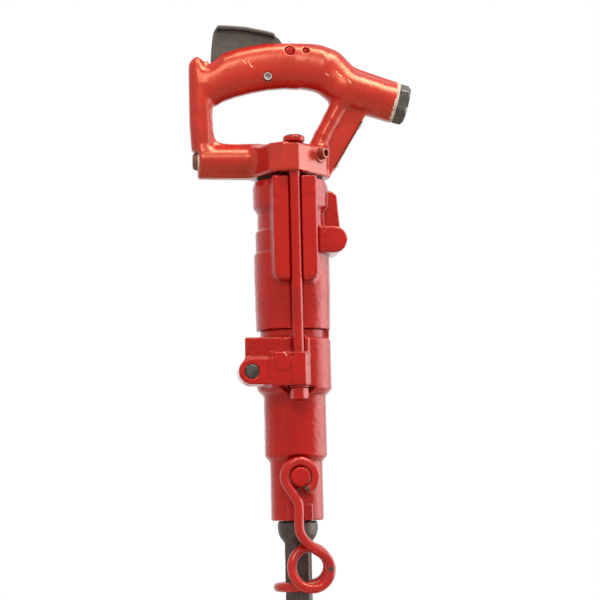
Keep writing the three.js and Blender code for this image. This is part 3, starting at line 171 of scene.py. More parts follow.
# Lever and its pins, as [across, height]
PIVOT = np.array([1.3, SEAT + 116.8])
PIVOT_RADIUS = 3.85
REST_PIN = np.array([16.0, PIVOT[1]])
REST_PIN_RADIUS = 2.6
STOP_PIN = np.array([-19.3, SEAT + 92.6])
STOP_PIN_RADIUS = 3.6
STOP_PIN_BORE = 2.6
CROSS_PIN_HALF = 10.5
STOP_PIN_HALF = 12.8
LEVER_LENGTH = 71.5
LEVER_CROWN = 23.8
LEVER_WEB_HALF = 5.5
LEVER_RIM_HALF = 11.0
LEVER_RIM_THICKNESS = 3.6
LEVER_HUB_RADIUS = 7.4
LEVER_TIP_RADIUS = 4.0
SLOT_HALF = 6.3
SLOT_FRONT_GAP = 2.4

# Oil plug in the base's front right facet, its socket measured across flats
OIL_PLUG_ALONG_SHARE = 0.71
OIL_PLUG_COLLAR_RADIUS = 7.6
OIL_PLUG_LENGTH = 8.5
OIL_PLUG_RADIUS = 5.2
OIL_PLUG_SOCKET = 5.8
OIL_PLUG_PROUD = 0.7
OIL_HOLE_RADIUS = 4.9
OIL_HOLE_DEPTH = 8.0

# Domed heads of the data plate's drive screws, as [radius, rise]
SCREW_PROFILE = [(1.85, -0.55), (1.9, -0.1), (1.5, 0.35), (0.5, 0.55)]

# Cylinder
BARREL_RADIUS = 34.3
PAD_HALF_WIDTH = 20.0
PAD_REACH = 40.6
PAD_FOOT = HEAD_TOP + 42.0
PAD_CORNER = 8.0
GROOVE_HALF = 5.8
GROOVE_FLOOR = 32.7
EXHAUST_ACROSS = 35.7
EXHAUST_HEIGHT = HEAD_TOP + 80.0
EXHAUST_RADIUS = 12.0
EXHAUST_LEFT = 21.5
EXHAUST_FRONT = -29.0
EXHAUST_REAR = 14.0
EXHAUST_OUTLET_RADIUS = 8.4
EXHAUST_WALL = 4.0
RIDGE_TOP = HEAD_TOP + 127.0
RIDGE_REACH = 44.0
RIDGE_HALF = 9.0
PISTON_BORE = 22.0
CHEST_BORE = 24.3
CHEST_DEPTH = 38.0

# Front head
SHOULDER_FOOT = 52.5
SHOULDER_TOP = 57.0
FLARE_FOOT = 111.0
FLANGE_FOOT = 118.0
FLARE_LEAD = 1.6
FLANGE_TOP = 162.0
LOW_HEAD_RADIUS = 23.6
MID_HEAD_RADIUS = 27.9
FLANGE_RADIUS = 33.5
NECK_RADIUS = 30.0
BOSS_LEFT = -24.6
BOSS_RIGHT = 9.5
BOSS_DEPTH = 48.0
BOSS_HEIGHT = 30.0
BOSS_CHAMFER = 4.7
BOSS_FACE_WIDTH = 15.5
BOSS_DRAFT = 1.5
FLANK_SET_BACK = 1.8
SHIELD_DEPTH = 6.0
SHIELD_TOP_GAP = 0.4
# Corners of the raised shield, across and above the mouth
SHIELD_OUTLINE = [
    (-22.8, 149.5), (-21.6, 139), (-18.6, 132.4), (-10.6, 132.4), (-8.4, 138), (-7.6, 149.5),
]
BLOCK_REACH = 47.0
BLOCK_DEPTH = 34.0
BLOCK_REAR = 16.0
BLOCK_REAR_REACH = 31.0
EAR_ACROSS = -42.0
EAR_HEIGHT = 131.0
EAR_RADIUS = 11.7
EAR_FRONT = -46.2
EAR_REAR = -20.0
LOCK_PIN_RADIUS = 6.2
LOCK_PIN_PROUD = 1.3
TRUNNION_HEIGHT = 38.4
TRUNNION_RADIUS = 8.6
TRUNNION_REACH = 32.6
POCKET_RADIUS = 18.8
POCKET_REACH = 23.5
BUSHING_SEAT_RADIUS = 18.3
CHUCK_BORE_RADIUS = 23.2
STEM_BORE_RADIUS = 16.0
MOUTH_PAD_HALF = 11.0
MOUTH_PAD_HEIGHT = 14.0
MOUTH_PAD_REACH = 23.3

# Side rods and nuts
ROD_REACH = 38.5
ROD_RADIUS = 4.8
ROD_HEAD_RADIUS = 9.75
ROD_HEAD_HEIGHT = 6.4
NUT_FLATS = 14.3
NUT_HEIGHT = 10.2
NUT_TURN = math.radians(17)
NUT_POCKET_RADIUS = 9.6
NUT_POCKET_FLARE = 1.85
WASHER_RADIUS = 8.4

# Wire retainer
WIRE_RADIUS = 4.35
WIRE_RING_RADIUS = 13.7
WIRE_REACH = 28.6
WIRE_INNER_REACH = 18.6
COIL_RADIUS = 16.7
COIL_ACROSS = 8.7
COIL_DROP = 43.1
INNER_COIL_SHIFT = np.array([-1.3, 2.6])
LEG_DROP = 58.5
REAR_SHIFT = 4.6
REAR_SHIFT_DROP = 40.0
# Arcs of the wire in degrees: start and end of the ring and of the coil, how far round the coil
# starts to ease inwards and has done so, and how far the U-bend's half is drawn
RING_ARC = (-60, 212)
COIL_ARC = (66, -446)
COIL_EASE_ARC = (-95, -290)
BEND_ARC = (0, 75)
# Points of the curve through the wire's middle, and of the same curve evenly spaced
WIRE_CURVE_POINTS = 2400
WIRE_POINTS = 520

# Drill steel
STEEL_FLATS = 22.0
STEEL_CORNER_SHARE = 0.565
STEEL_TURN = math.radians(11.4)
COLLAR_RADIUS = 17.85
COLLAR_LENGTH = 19.5
FLUSH_HOLE_RADIUS = 3.3
BIT_RADIUS = 17.0
BIT_LENGTH = 26.0
INSERT_HALF = 3.8
INSERT_LENGTH = 9.0

# Outlines of the handle, as shares of its reach and rise
LIP_SHARES = [
    (-0.978, 0.22), (-0.984, 0.29), (-1, 0.49), (-1.002, 0.69), (-0.998, 0.8), (-0.978, 0.857),
    (-0.927, 0.893), (-0.888, 0.875), (-0.854, 0.858), (-0.811, 0.866), (-0.717, 0.903),
    (-0.587, 0.936), (-0.389, 0.972), (-0.2, 0.996), (0, 1), (0.202, 0.991), (0.333, 0.978),
    (0.457, 0.948), (0.534, 0.91), (0.659, 0.825),
]
RIB_EDGE_SHARES = [(0.806, 0.49), (0.44, 0.055)]
RIB_FOOT_SHARES = [(0.4, 0.004), (0.2, 0.004), (0.24, 0.21), (0.38, 0.33), (0.56, 0.57), (0.7, 0.57)]
OPENING_TOP_SHARES = [
    (-0.789, 0.412), (-0.796, 0.475), (-0.779, 0.519), (-0.739, 0.555), (-0.66, 0.59),
    (-0.53, 0.623), (-0.366, 0.653), (-0.203, 0.675), (-0.028, 0.685), (0.106, 0.68),
    (0.308, 0.661), (0.406, 0.636), (0.438, 0.606), (0.443, 0.576), (0.438, 0.533), (0.4, 0.477),
    (0.328, 0.373), (0.235, 0.27),
]
OPENING_FOOT_SHARES = [
    (0.19, 0.22), (-0.155, 0.22), (-0.333, 0.245), (-0.54, 0.241), (-0.643, 0.246),
    (-0.706, 0.26), (-0.756, 0.291), (-0.781, 0.344),
]
# Grip sections: across, rise of the middle, share of the half height and of the half width
GRIP_SHARES = [
    (-0.86, 0.7, 0.7, 0.86), (-0.76, 0.71, 0.92, 0.94), (-0.66, 0.753, 1.03, 1),
    (-0.53, 0.786, 1.03, 1), (-0.366, 0.814, 1.02, 1), (-0.203, 0.834, 1.01, 1),
    (-0.028, 0.842, 0.99, 1), (0.106, 0.838, 0.99, 1), (0.211, 0.831, 1, 1.01),
    (0.308, 0.819, 1.01, 1.04), (0.4, 0.797, 1.04, 1.1),
]
# Left leg sections: rise, middle across, shares of the half width and half depth
LEG_SHARES = [
    (0.2, -0.88, 0.92, 0.94), (0.215, -0.88, 0.92, 0.94), (0.29, -0.885, 0.95, 0.96),
    (0.49, -0.893, 1, 1), (0.69, -0.894, 1, 1), (0.79, -0.911, 0.89, 0.92),
    (0.845, -0.924, 0.64, 0.76), (0.875, -0.925, 0.38, 0.5), (0.89, -0.927, 0.14, 0.24),
]
# Strut sections: across, rise, share of the half width
STRUT_SHARES = [
    (0.56, 0.62, 1.15), (0.534, 0.55, 1.1), (0.439, 0.432, 1), (0.346, 0.313, 1), (0.27, 0.18, 1.03),
]
BASE_PLAN_SHARES = [(-1, 0.3), (-0.67, 0.82), (-0.32, 1), (0.09, 1), (1, 0.26)]
# Lever outline about its pivot, as shares of its length and crown
LEVER_CROWN_SHARES = [
    (-1, -0.285), (-0.993, 0.025), (-0.978, 0.475), (-0.96, 0.8), (-0.92, 0.962), (-0.881, 1),
    (-0.596, 0.954), (-0.432, 0.87), (-0.27, 0.773), (-0.187, 0.697), (-0.157, 0.613),
    (-0.123, 0.534), (-0.092, 0.387), (-0.059, 0.29),
]
LEVER_FOOT_SHARES = [(0.02, -0.3), (-0.1, -0.42), (-0.287, -0.65), (-0.55, -0.61), (-0.98, -0.55)]
# Collar profile: share of its length from the foot up to the mouth, and of its radius
COLLAR_SHARES = [
    (1.0, 0.715), (0.93, 0.735), (0.86, 0.8), (0.72, 0.9), (0.55, 0.965), (0.38, 1), (0.12, 1), (0.0, 0.94),
]
# Barrel profile: share of the cylinder's length and radius
BARREL_SHARES = [
    (0, 0.974), (0.28, 1), (0.508, 1), (0.526, 0.95), (0.658, 0.95), (0.676, 0.886), (0.79, 0.886),
    (0.825, 0.991), (0.96, 1), (1, 0.95),
]
# Arm of the retainer, as shares of the ring's radius from the trunnion
ARM_SHARES = [
    (-0.49, -1.1), (-0.16, -1.67), (-0.11, -2.2), (-0.14, -2.85), (-0.11, -3.4), (0.055, -3.86),
    (0.49, -4.35),
]

# Sand waves as [length, seed], and their depth on each casting as a share of the sand texture's
SAND_WAVES = [(11.0, 3), (4.0, 4)]
HANDLE_SAND = 0.12
CYLINDER_SAND = 1.5
HEAD_SAND = 0.6
HEAD_SAND_MIDDLE = 1.1
LEVER_SAND = 0.4
STEEL_SAND = 1.3
# Waves of a bead of sealant as [length, depth]
SEALANT_WAVES = [(2.2, 0.3), (6.0, 0.35)]

# Bare spots as [x, y, z above the mouth, radius]
CYLINDER_CHIPS = [(46, -25, 253.0, 0.8)]
HEAD_CHIPS = [(-47, -30, 158.0, 0.9)]
WIRE_CHIPS = [
    (25.4, -32.9, -43.2, 2.5), (5.8, -31.0, 27.2, 3.4), (-8.7, -32.9, -46.3, 1.0),
    (-0.2, -32.9, -17.9, 0.8),
]
WORN_HEADS = [
    (-4.0, -45.8, 342.4, 3.0), (3.8, -46.2, 342.0, 2.4), (0.6, -47.9, 339.2, 1.1),
    (2, 40, 343.0, 4.0),
]
# Scratches on the front, as [x, z above the mouth] of both ends and a half width
SCRATCHES = [
    (-42.1, 417.0, -39.2, 413.3, 0.35), (-37.5, 415.6, -32.5, 409.4, 0.4),
    (-35.2, 412.0, -34.0, 410.6, 0.6), (33.0, 404.2, 36.2, 402.2, 0.45),
    (43.0, 406.4, 45.4, 403.0, 0.4), (45.4, 403.0, 48.2, 401.2, 0.6),
    (53.6, 398.4, 56.2, 394.6, 0.6), (-13.9, 147.2, -11.3, 144.3, 0.5),
    (-66.0, 372.0, -65.2, 369.5, 0.35),
]
BARE_IRON = (0.056, 0.046, 0.038)
PRIMER = (0.3, 0.15, 0.11)
SCRATCH = (0.85, 0.5, 0.33)
RUST = (0.13, 0.05, 0.022)
# Near-black painted shade for the inside of the oil plug's socket
SOCKET_PAINTED_SHADE = (0.012, 0.008, 0.006)
SHEEN_TINT = (1.0, 0.5, 0.3)
FLOOR_PALE = (0.8, 0.8, 0.8)
FLOOR_MOTTLE = (0.76, 0.76, 0.76)

# Stage, in metres: lamps as name, place, size, power in watts and colour
LAMPS = [
    ("key", (1.5, -1.5, 1.35), (1.0, 1.2), 16.0, (1.0, 0.95, 0.9)),
    ("front", (-0.3, -1.6, 0.85), (0.8, 0.4), 13.0, (1.0, 0.88, 0.74)),
    ("top", (0.2, -0.7, 1.7), (1.2, 0.5), 30.0, (1.0, 0.86, 0.68)),
    ("side", (1.8, -0.1, 0.0), (1.2, 2.4), 23.0, (1.0, 0.96, 1.0)),
    ("fill", (-1.7, -1.3, 0.2), (0.8, 1.8), 17.0, (1.0, 0.94, 0.92)),
    ("back", (-0.9, 1.9, 0.7), (1.2, 1.2), 14.0, (1.0, 0.97, 0.95)),
    ("glint", (1.77, 0.31, 0.0), (1.5, 2.4), 25.0, (0.95, 0.95, 1.0)),
    ("glow", (0.9, -0.9, 1.7), (1.0, 0.7), 40.0, (1.0, 0.84, 0.64)),
]
# Lamps that reflections don't show, and lamps that only reflections show
LAMPS_UNSEEN = ("fill", "back")
LAMPS_MIRRORED = ("glint", "glow")
WORLD_LIGHT = 0.2
FLOOR_HALF = 1.05
FLOOR_GAP = 0.0005
# Distances from the middle, in millimetres, between which the floor fades out
FLOOR_FADE = (350, 1000)
CAMERA_TURN = math.radians(-6.5)
CAMERA_RISE = math.radians(6.34)
CAMERA_ROLL = math.radians(-1.33)
CAMERA_DISTANCE = 1.75
CAMERA_LENS = 116.64
CAMERA_SENSOR = 36.0
# Where the middle of the mouth falls, as a slope right and up from the camera's axis
AIM_RIGHT = -0.001235
AIM_UP = -0.113426


class DrillSizes(bpy.types.PropertyGroup):
    """Sizes of the castings' surface that a user would change."""

    casting_step: FloatProperty(
        name="Casting step", description="Spacing of the castings' surface points",
        unit="LENGTH", precision=5, default=1.15 * MM, min=0.6 * MM, max=4.0 * MM)
    fillet: FloatProperty(
        name="Fillet", description="Roundness where two forms of a casting meet",
        unit="LENGTH", precision=5, default=5.0 * MM, min=0.5 * MM, max=12.0 * MM)
    edge: FloatProperty(
        name="Edge", description="Roundness of a casting's outer edges",
        unit="LENGTH", precision=5, default=1.8 * MM, min=0.2 * MM, max=5.0 * MM)
    sand_depth: FloatProperty(
        name="Sand texture", description="Depth of the sand-cast waves",
        unit="LENGTH", precision=5, default=0.1 * MM, min=0.0, max=0.6 * MM)


class DrillColours(bpy.types.PropertyGroup):
    """Colours of the finishes that a user would change."""

    enamel: FloatVectorProperty(
        name="Enamel", description="Red of the painted castings", subtype="COLOR", size=3,
        default=(0.43, 0.0085, 0.006), min=0.0, max=1.0)
    # Painted shade: the darker red that creases are darkened towards, standing for the shade that falls in
    # them
    enamel_shade: FloatVectorProperty(
        name="Enamel shade", description="Darker red of creases and thick paint", subtype="COLOR",
        size=3, default=(0.2, 0.003, 0.003), min=0.0, max=1.0)
    lever: FloatVectorProperty(
        name="Lever", description="Dark grey-brown of the lever", subtype="COLOR", size=3,
        default=(0.056, 0.045, 0.038), min=0.0, max=1.0)
    steel: FloatVectorProperty(
        name="Forged steel", description="Dark brown-grey of the drill steel", subtype="COLOR",
        size=3, default=(0.068, 0.046, 0.037), min=0.0, max=1.0)


def millimetres(group):
    """Sizes of a property group in millimetres, rounded to single precision as the properties are."""
    return SimpleNamespace(**{key: float(np.float32(round(getattr(group, key) / MM, 5)))
                              for key in group.__annotations__})


# Distances: each function gives, at points x, y, z, the distance to a surface, below zero inside


def blend(a, b, k):
    """The lesser of two distances, rounded over a width k where they are alike."""
    h = np.clip(0.5 + 0.5 * (b - a) / k, 0, 1)
    return b + (a - b) * h - k * h * (1 - h)


def joined(k, first, *others):
    """Union with fillets of width k."""
    for other in others:
        first = blend(first, other, k)
    return first


def cut(k, body, *tools):
    """Body less each tool, with rims rounded over a width k."""
    for tool in tools:
        body = -blend(-body, tool, k)
    return body


def between(v, low, high):
    """Distance along one axis to the stretch from low to high."""
    return np.maximum(low - v, v - high)


def crossed(a, b, r):
    """What two distances have in common, with its edge rounded to radius r."""
    outside = np.hypot(np.maximum(a + r, 0), np.maximum(b + r, 0))
    return np.minimum(np.maximum(a, b) + r, 0) + outside - r


def rod(x, y, z, start, end, radius, r=0.5):
    """Cylinder from start to end: distance from its line less the radius, crossed with its length."""
    start, end = np.asarray(start, float), np.asarray(end, float)
    length = np.linalg.norm(end - start)
    ux, uy, uz = (end - start) / length
    px, py, pz = x - start[0], y - start[1], z - start[2]
    along = px * ux + py * uy + pz * uz
    off = np.sqrt(np.maximum(px * px + py * py + pz * pz - along * along, 0))
    return crossed(off - radius, between(along, 0, length), r)


def cross_rod(x, y, z, place, near, far, radius, r=0.5):
    """Cylinder along Y through a place in the handle's plane."""
    return rod(x, y, z, (place[0], near, place[1]), (place[0], far, place[1]), radius, r)


def block(x, y, z, low, high, r):
    """Box between two corners with rounded edges."""
    sides = crossed(between(x, low[0], high[0]), between(y, low[1], high[1]), r)
    return crossed(sides, between(z, low[2], high[2]), r)


def outline(u, v, corners):
    """Distance in a plane to a closed outline: the least to any edge, with the sign by crossings."""
    least = np.inf
    sign = 1.0
    corners = np.asarray(corners, float)
    for (au, av), (bu, bv) in zip(corners, np.roll(corners, -1, axis=0)):
        eu, ev = bu - au, bv - av
        wu, wv = u - au, v - av
        t = np.clip((wu * eu + wv * ev) / (eu * eu + ev * ev), 0, 1)
        least = np.minimum(least, (wu - eu * t) ** 2 + (wv - ev * t) ** 2)
        if ev:
            crosses = ((av > v) != (bv > v)) & (u < au + eu * (v - av) / ev)
            sign = np.where(crosses, -sign, sign)
    return sign * np.sqrt(least)


def drawn_in(corners, depth):
    """Convex outline with each edge moved inwards, so that its corners can be rounded again."""
    corners = np.asarray(corners, float)
    along = np.roll(corners, -1, axis=0) - corners
    inward = np.stack([-along[:, 1], along[:, 0]], 1) / np.linalg.norm(along, axis=1)[:, None]
    if (inward[0] * (corners.mean(0) - corners[0])).sum() < 0:
        inward = -inward
    reach = (inward * corners).sum(1) + depth
    pairs = np.stack([np.roll(inward, 1, axis=0), inward], 1)
    return np.linalg.solve(pairs, np.stack([np.roll(reach, 1), reach], 1)[:, :, None])[:, :, 0]


def oval(u, v, half_u, half_v, power):
    """Distance from a rounded section, measured along the ray from its middle."""
    reach = np.hypot(u, v) + 1e-6
    share = (np.abs(u / half_u) ** power + np.abs(v / half_v) ** power) ** (1 / power)
    return reach - reach / np.maximum(share, 1e-6)


def curve_through(points, steps):
    """Smooth curve through points: cubic pieces whose slopes follow each point's neighbours."""
    p = np.asarray(points, float)
    ends = np.vstack([2 * p[0] - p[1], p, 2 * p[-1] - p[-2]])
    t = np.linspace(0, len(p) - 1, steps)
    i = np.minimum(t.astype(int), len(p) - 2)
    f = (t - i)[:, None]
    a, b, c, d = (ends[i + k] for k in range(4))
    return 0.5 * (2 * b + (c - a) * f + (2 * a - 5 * b + 4 * c - d) * f ** 2
                  + (3 * b - a - 3 * c + d) * f ** 3)


def on_handle(shares):
    """Places in the handle's plane from shares of its reach and rise."""
    return np.asarray(shares, float)[..., :2] * [REACH, RISE] + [0, SEAT]


def on_inlet(depth, lift=0.0):
    """Point on the inlet axis, a depth in from its face and a lift square to it."""
    return np.array([
        INLET_REACH - depth * math.cos(INLET_TILT) + lift * math.sin(INLET_TILT), 0.0,
        SEAT + INLET_RISE + depth * math.sin(INLET_TILT) + lift * math.cos(INLET_TILT),
    ])


def lever_tip():
    """Foot of the lever's arm, where the inlet axis passes nearest to the pivot."""
    inwards = on_inlet(1) - on_inlet(0)
    pivot = np.array([PIVOT[0], 0, PIVOT[1]])
    return on_inlet((pivot - on_inlet(0)) @ inwards)[[0, 2]]


def strap(start, start_radius, end, end_radius, steps=12):
    """Outline round two circles: an arc on each, joined by the lines that touch both."""
    start, end = np.asarray(start, float), np.asarray(end, float)
    heading = math.atan2(*(end - start)[::-1])
    lean = math.acos((start_radius - end_radius) / np.linalg.norm(end - start))
    far = heading + np.linspace(-lean, lean, steps)
    near = heading + np.linspace(lean, 2 * math.pi - lean, steps)
    return np.vstack([
        end + end_radius * np.stack([np.cos(far), np.sin(far)], 1),
        start + start_radius * np.stack([np.cos(near), np.sin(near)], 1),
    ])


# Castings


def base_corners():
    """Plan of the backhead's base: five corners in front and the same behind."""
    front = np.array(BASE_PLAN_SHARES) * [BASE_HALF_WIDTH, -BASE_HALF_DEPTH]
    return np.vstack([front, (front * [1, -1])[::-1]])


def oil_plug_line():
    """Foot of the oil plug on the base's front right facet, and the way out of it."""
    left, right = base_corners()[3:5]
    along = right - left
    out = np.array([along[1], -along[0], 0]) / np.linalg.norm(along)
    foot = np.append(left + along * OIL_PLUG_ALONG_SHARE, BASE_TOP - OIL_PLUG_COLLAR_RADIUS)
    return foot, out


def plug_socket():
    """Middle of the oil plug's socket above the mouth, and the radius within which painted shade darkens it.
    """
    foot, out = oil_plug_line()
    return tuple(float(v) for v in foot + out * (OIL_PLUG_LENGTH - 2.6)), OIL_PLUG_SOCKET / 2 + PLAY


def grip(x, y, z):
    """Palm grip: a rounded section whose middle, height and width follow a table along X."""
    across, rise, tall, wide = np.array(GRIP_SHARES).T
    at = across * REACH
    middle = SEAT + np.interp(x, at, rise) * RISE
    section = oval(y, z - middle, np.interp(x, at, wide) * GRIP_HALF_WIDTH,
                   np.interp(x, at, tall) * GRIP_HALF_HEIGHT, 2.6)
    return crossed(section, between(x, at[0], at[-1]), 4)


def left_leg(x, y, z):
    """Left leg: a rounded section whose middle, width and depth follow a table up Z."""
    rise, across, wide, deep = np.array(LEG_SHARES).T
    at = SEAT + rise * RISE
    section = oval(x - np.interp(z, at, across) * REACH, y,
                   np.interp(z, at, wide) * LEG_HALF_WIDTH, np.interp(z, at, deep) * LEG_HALF_DEPTH, 2.4)
    return crossed(section, between(z, at[0], at[-1]), 2)


def limb(x, y, z, sections, power=2.0):
    """Limb along a bent line in the handle's plane: at each point the nearest place on the line gives
    the half width in the plane and the half depth, and their oval gives the distance."""
    nearest = np.inf
    for start, end in zip(sections, sections[1:]):
        (ax, az, aw, ad), (bx, bz, bw, bd) = start, end
        ex, ez = bx - ax, bz - az
        t = np.clip(((x - ax) * ex + (z - az) * ez) / (ex * ex + ez * ez), 0, 1)
        off = np.hypot(x - ax - ex * t, z - az - ez * t)
        piece = oval(off, y, aw + (bw - aw) * t, ad + (bd - ad) * t, power)
        nearest = np.minimum(nearest, piece) if start is sections[0] else blend(nearest, piece, 1.5)
    return nearest


def strut(x, y, z):
    """Right strut: a limb from the base to the grip's right end."""
    places = on_handle(STRUT_SHARES)
    return limb(x, y, z, [(px, pz, share[2] * STRUT_HALF_WIDTH * 1.06, STRUT_HALF_DEPTH)
                          for (px, pz), share in zip(places, STRUT_SHARES)])


def neck(x, y, z):
    """Neck between the grip's right end and the inlet boss: a limb that tapers to the boss's radius."""
    sections = [(a * REACH, SEAT + r * RISE, tall * GRIP_HALF_HEIGHT * 0.98, wide * GRIP_HALF_WIDTH)
                for a, r, tall, wide in GRIP_SHARES[8:11]]
    shoulder = on_inlet(INLET_BORE_DEPTH - 2, LAND_PROUD / 2)
    end = on_inlet(INLET_RADIUS + 3)
    sections.append((shoulder[0], shoulder[2], INLET_RADIUS + 1, INLET_RADIUS))
    sections.append((end[0], end[2], INLET_RADIUS, INLET_RADIUS))
    return limb(x, y, z, sections, 2.2)


def handle_plate(x, y, z, edge):
    """Web of the handle: its outline less its opening, crossed with its thickness."""
    top = curve_through(on_handle(LIP_SHARES), 60)
    corners = [
        (LOWER_BAR_LEFT, SEAT + LOWER_BAR_RISE - LOWER_BAR_RADIUS),
        (LOWER_BAR_LEFT, SEAT + LOWER_BAR_RISE + LOWER_BAR_RADIUS * 0.64), *top,
        on_inlet(4, INLET_RADIUS)[[0, 2]], on_inlet(4, -INLET_RADIUS)[[0, 2]],
        *on_handle(RIB_EDGE_SHARES), (BASE_HALF_WIDTH, SEAT), (-BASE_HALF_WIDTH, SEAT),
    ]
    opening = np.vstack([curve_through(on_handle(OPENING_TOP_SHARES), 44),
                         curve_through(on_handle(OPENING_FOOT_SHARES), 18)])
    web = np.maximum(outline(x, z, corners), -outline(x, z, opening))
    return crossed(web, between(y, -PLATE_HALF, PLATE_HALF), edge)


def lever_slot(x, y, z):
    """Slot for the lever through the top of the grip."""
    floor = STOP_PIN[1] - STOP_PIN_RADIUS * 0.75
    left = PIVOT[0] - LEVER_LENGTH - SLOT_FRONT_GAP
    right = lever_tip()[0] + LEVER_TIP_RADIUS * 3
    tail_foot = REST_PIN[1] - REST_PIN_RADIUS
    open_top = SEAT + RISE + LEVER_CROWN
    corners = [
        (left, floor - 3), (PIVOT[0] - LEVER_LENGTH / 2, floor), (right, floor),
        (right, tail_foot - LEVER_HUB_RADIUS), (REST_PIN[0] + REST_PIN_RADIUS * 2, tail_foot),
        (REST_PIN[0] + REST_PIN_RADIUS * 2, open_top), (left, open_top),
    ]
    return crossed(outline(x, z, corners), between(y, -SLOT_HALF, SLOT_HALF), 0.6)


def backhead(x, y, z, sizes):
    """Backhead: grip, leg, bar, strut, rib, base and boss in one casting, with slot and bores."""
    fillet, edge = sizes.fillet, sizes.edge
    bar_height = SEAT + LOWER_BAR_RISE
    lower_bar = rod(x, y, z, (LOWER_BAR_LEFT, 0, bar_height),
                    (-BASE_HALF_WIDTH / 2, 0, bar_height), LOWER_BAR_RADIUS, edge)
    leg = left_leg(x, y, z)
    rib = crossed(outline(x, z, on_handle(RIB_EDGE_SHARES + RIB_FOOT_SHARES)),
                  between(y, -RIB_HALF, RIB_HALF), edge)
    plan = outline(x, y, drawn_in(base_corners(), edge * 2.5)) - edge * 2.5
    base = crossed(plan, between(z, SEAT, BASE_TOP), edge * 1.3)
    boss = rod(x, y, z, on_inlet(0), on_inlet(INLET_BORE_DEPTH - 6), INLET_RADIUS, 1.4)
    edge_line = on_handle(OPENING_TOP_SHARES[3:10])
    land_line = np.vstack([edge_line + [0, LAND_ROOT], (edge_line - [0, LAND_PROUD])[::-1]])
    land = crossed(outline(x, z, land_line), between(y, -LAND_HALF, LAND_HALF), 0.8)
    foot, out = oil_plug_line()
    collar = rod(x, y, z, foot - out * 4, foot + out * 2.8, OIL_PLUG_COLLAR_RADIUS, 0.8)
    body = joined(fillet, handle_plate(x, y, z, edge), grip(x, y, z), leg, strut(x, y, z),
                  lower_bar)
    body = joined(fillet * 0.7, body, joined(1, neck(x, y, z), boss))
    body = joined(fillet * 1.6, body, base)
    body = joined(fillet * 0.25, body, rib)
    body = joined(1.5, body, land, collar)
    body = cut(0.8, body, lever_slot(x, y, z),
               cross_rod(x, y, z, PIVOT, -THROUGH, THROUGH, PIVOT_RADIUS + PLAY * 2),
               cross_rod(x, y, z, REST_PIN, -THROUGH, THROUGH, REST_PIN_RADIUS + PLAY),
               cross_rod(x, y, z, STOP_PIN, -THROUGH, THROUGH, STOP_PIN_RADIUS + SLEEVE_PLAY),
               rod(x, y, z, on_inlet(-OVERSHOOT), on_inlet(INLET_BORE_DEPTH), INLET_BORE_RADIUS),
               rod(x, y, z, (LOWER_BAR_LEFT - OVERSHOOT, 0, bar_height),
                   (LOWER_BAR_LEFT + RESERVOIR_BORE_DEPTH, 0, bar_height), RESERVOIR_BORE_RADIUS),
               rod(x, y, z, foot - out * OIL_HOLE_DEPTH, foot + out * (OIL_HOLE_DEPTH + 1),
                   OIL_HOLE_RADIUS),
               rod(x, y, z, (0, 0, SEAT - OVERSHOOT), (0, 0, SEAT + BASE_CAVITY_DEPTH),
                   BASE_CAVITY_RADIUS),
               rod(x, y, z, on_inlet(INLET_BORE_DEPTH - 1),
                   on_inlet(INLET_BORE_DEPTH + AIR_PASSAGE_LENGTH), AIR_PASSAGE_RADIUS))
    for side in (-1, 1):
        body = cut(0.6, body, rod(x, y, z, (0, side * ROD_REACH, SEAT - OVERSHOOT),
                                  (0, side * ROD_REACH, BASE_TOP + OVERSHOOT), ROD_RADIUS + PLAY))
    return body


def barrel(x, y, z):
    """Barrel: distance from the axis less a radius that follows a table of eased steps."""
    share, radius = np.array(BARREL_SHARES).T
    at = HEAD_TOP + share * (CYLINDER_TOP - HEAD_TOP)
    wall = sum(np.interp(z + shift, at, radius * BARREL_RADIUS) for shift in (-0.6, -0.2, 0.2, 0.6)) / 4
    return crossed(np.hypot(x, y) - wall, between(z, HEAD_TOP, CYLINDER_TOP), 0.8)


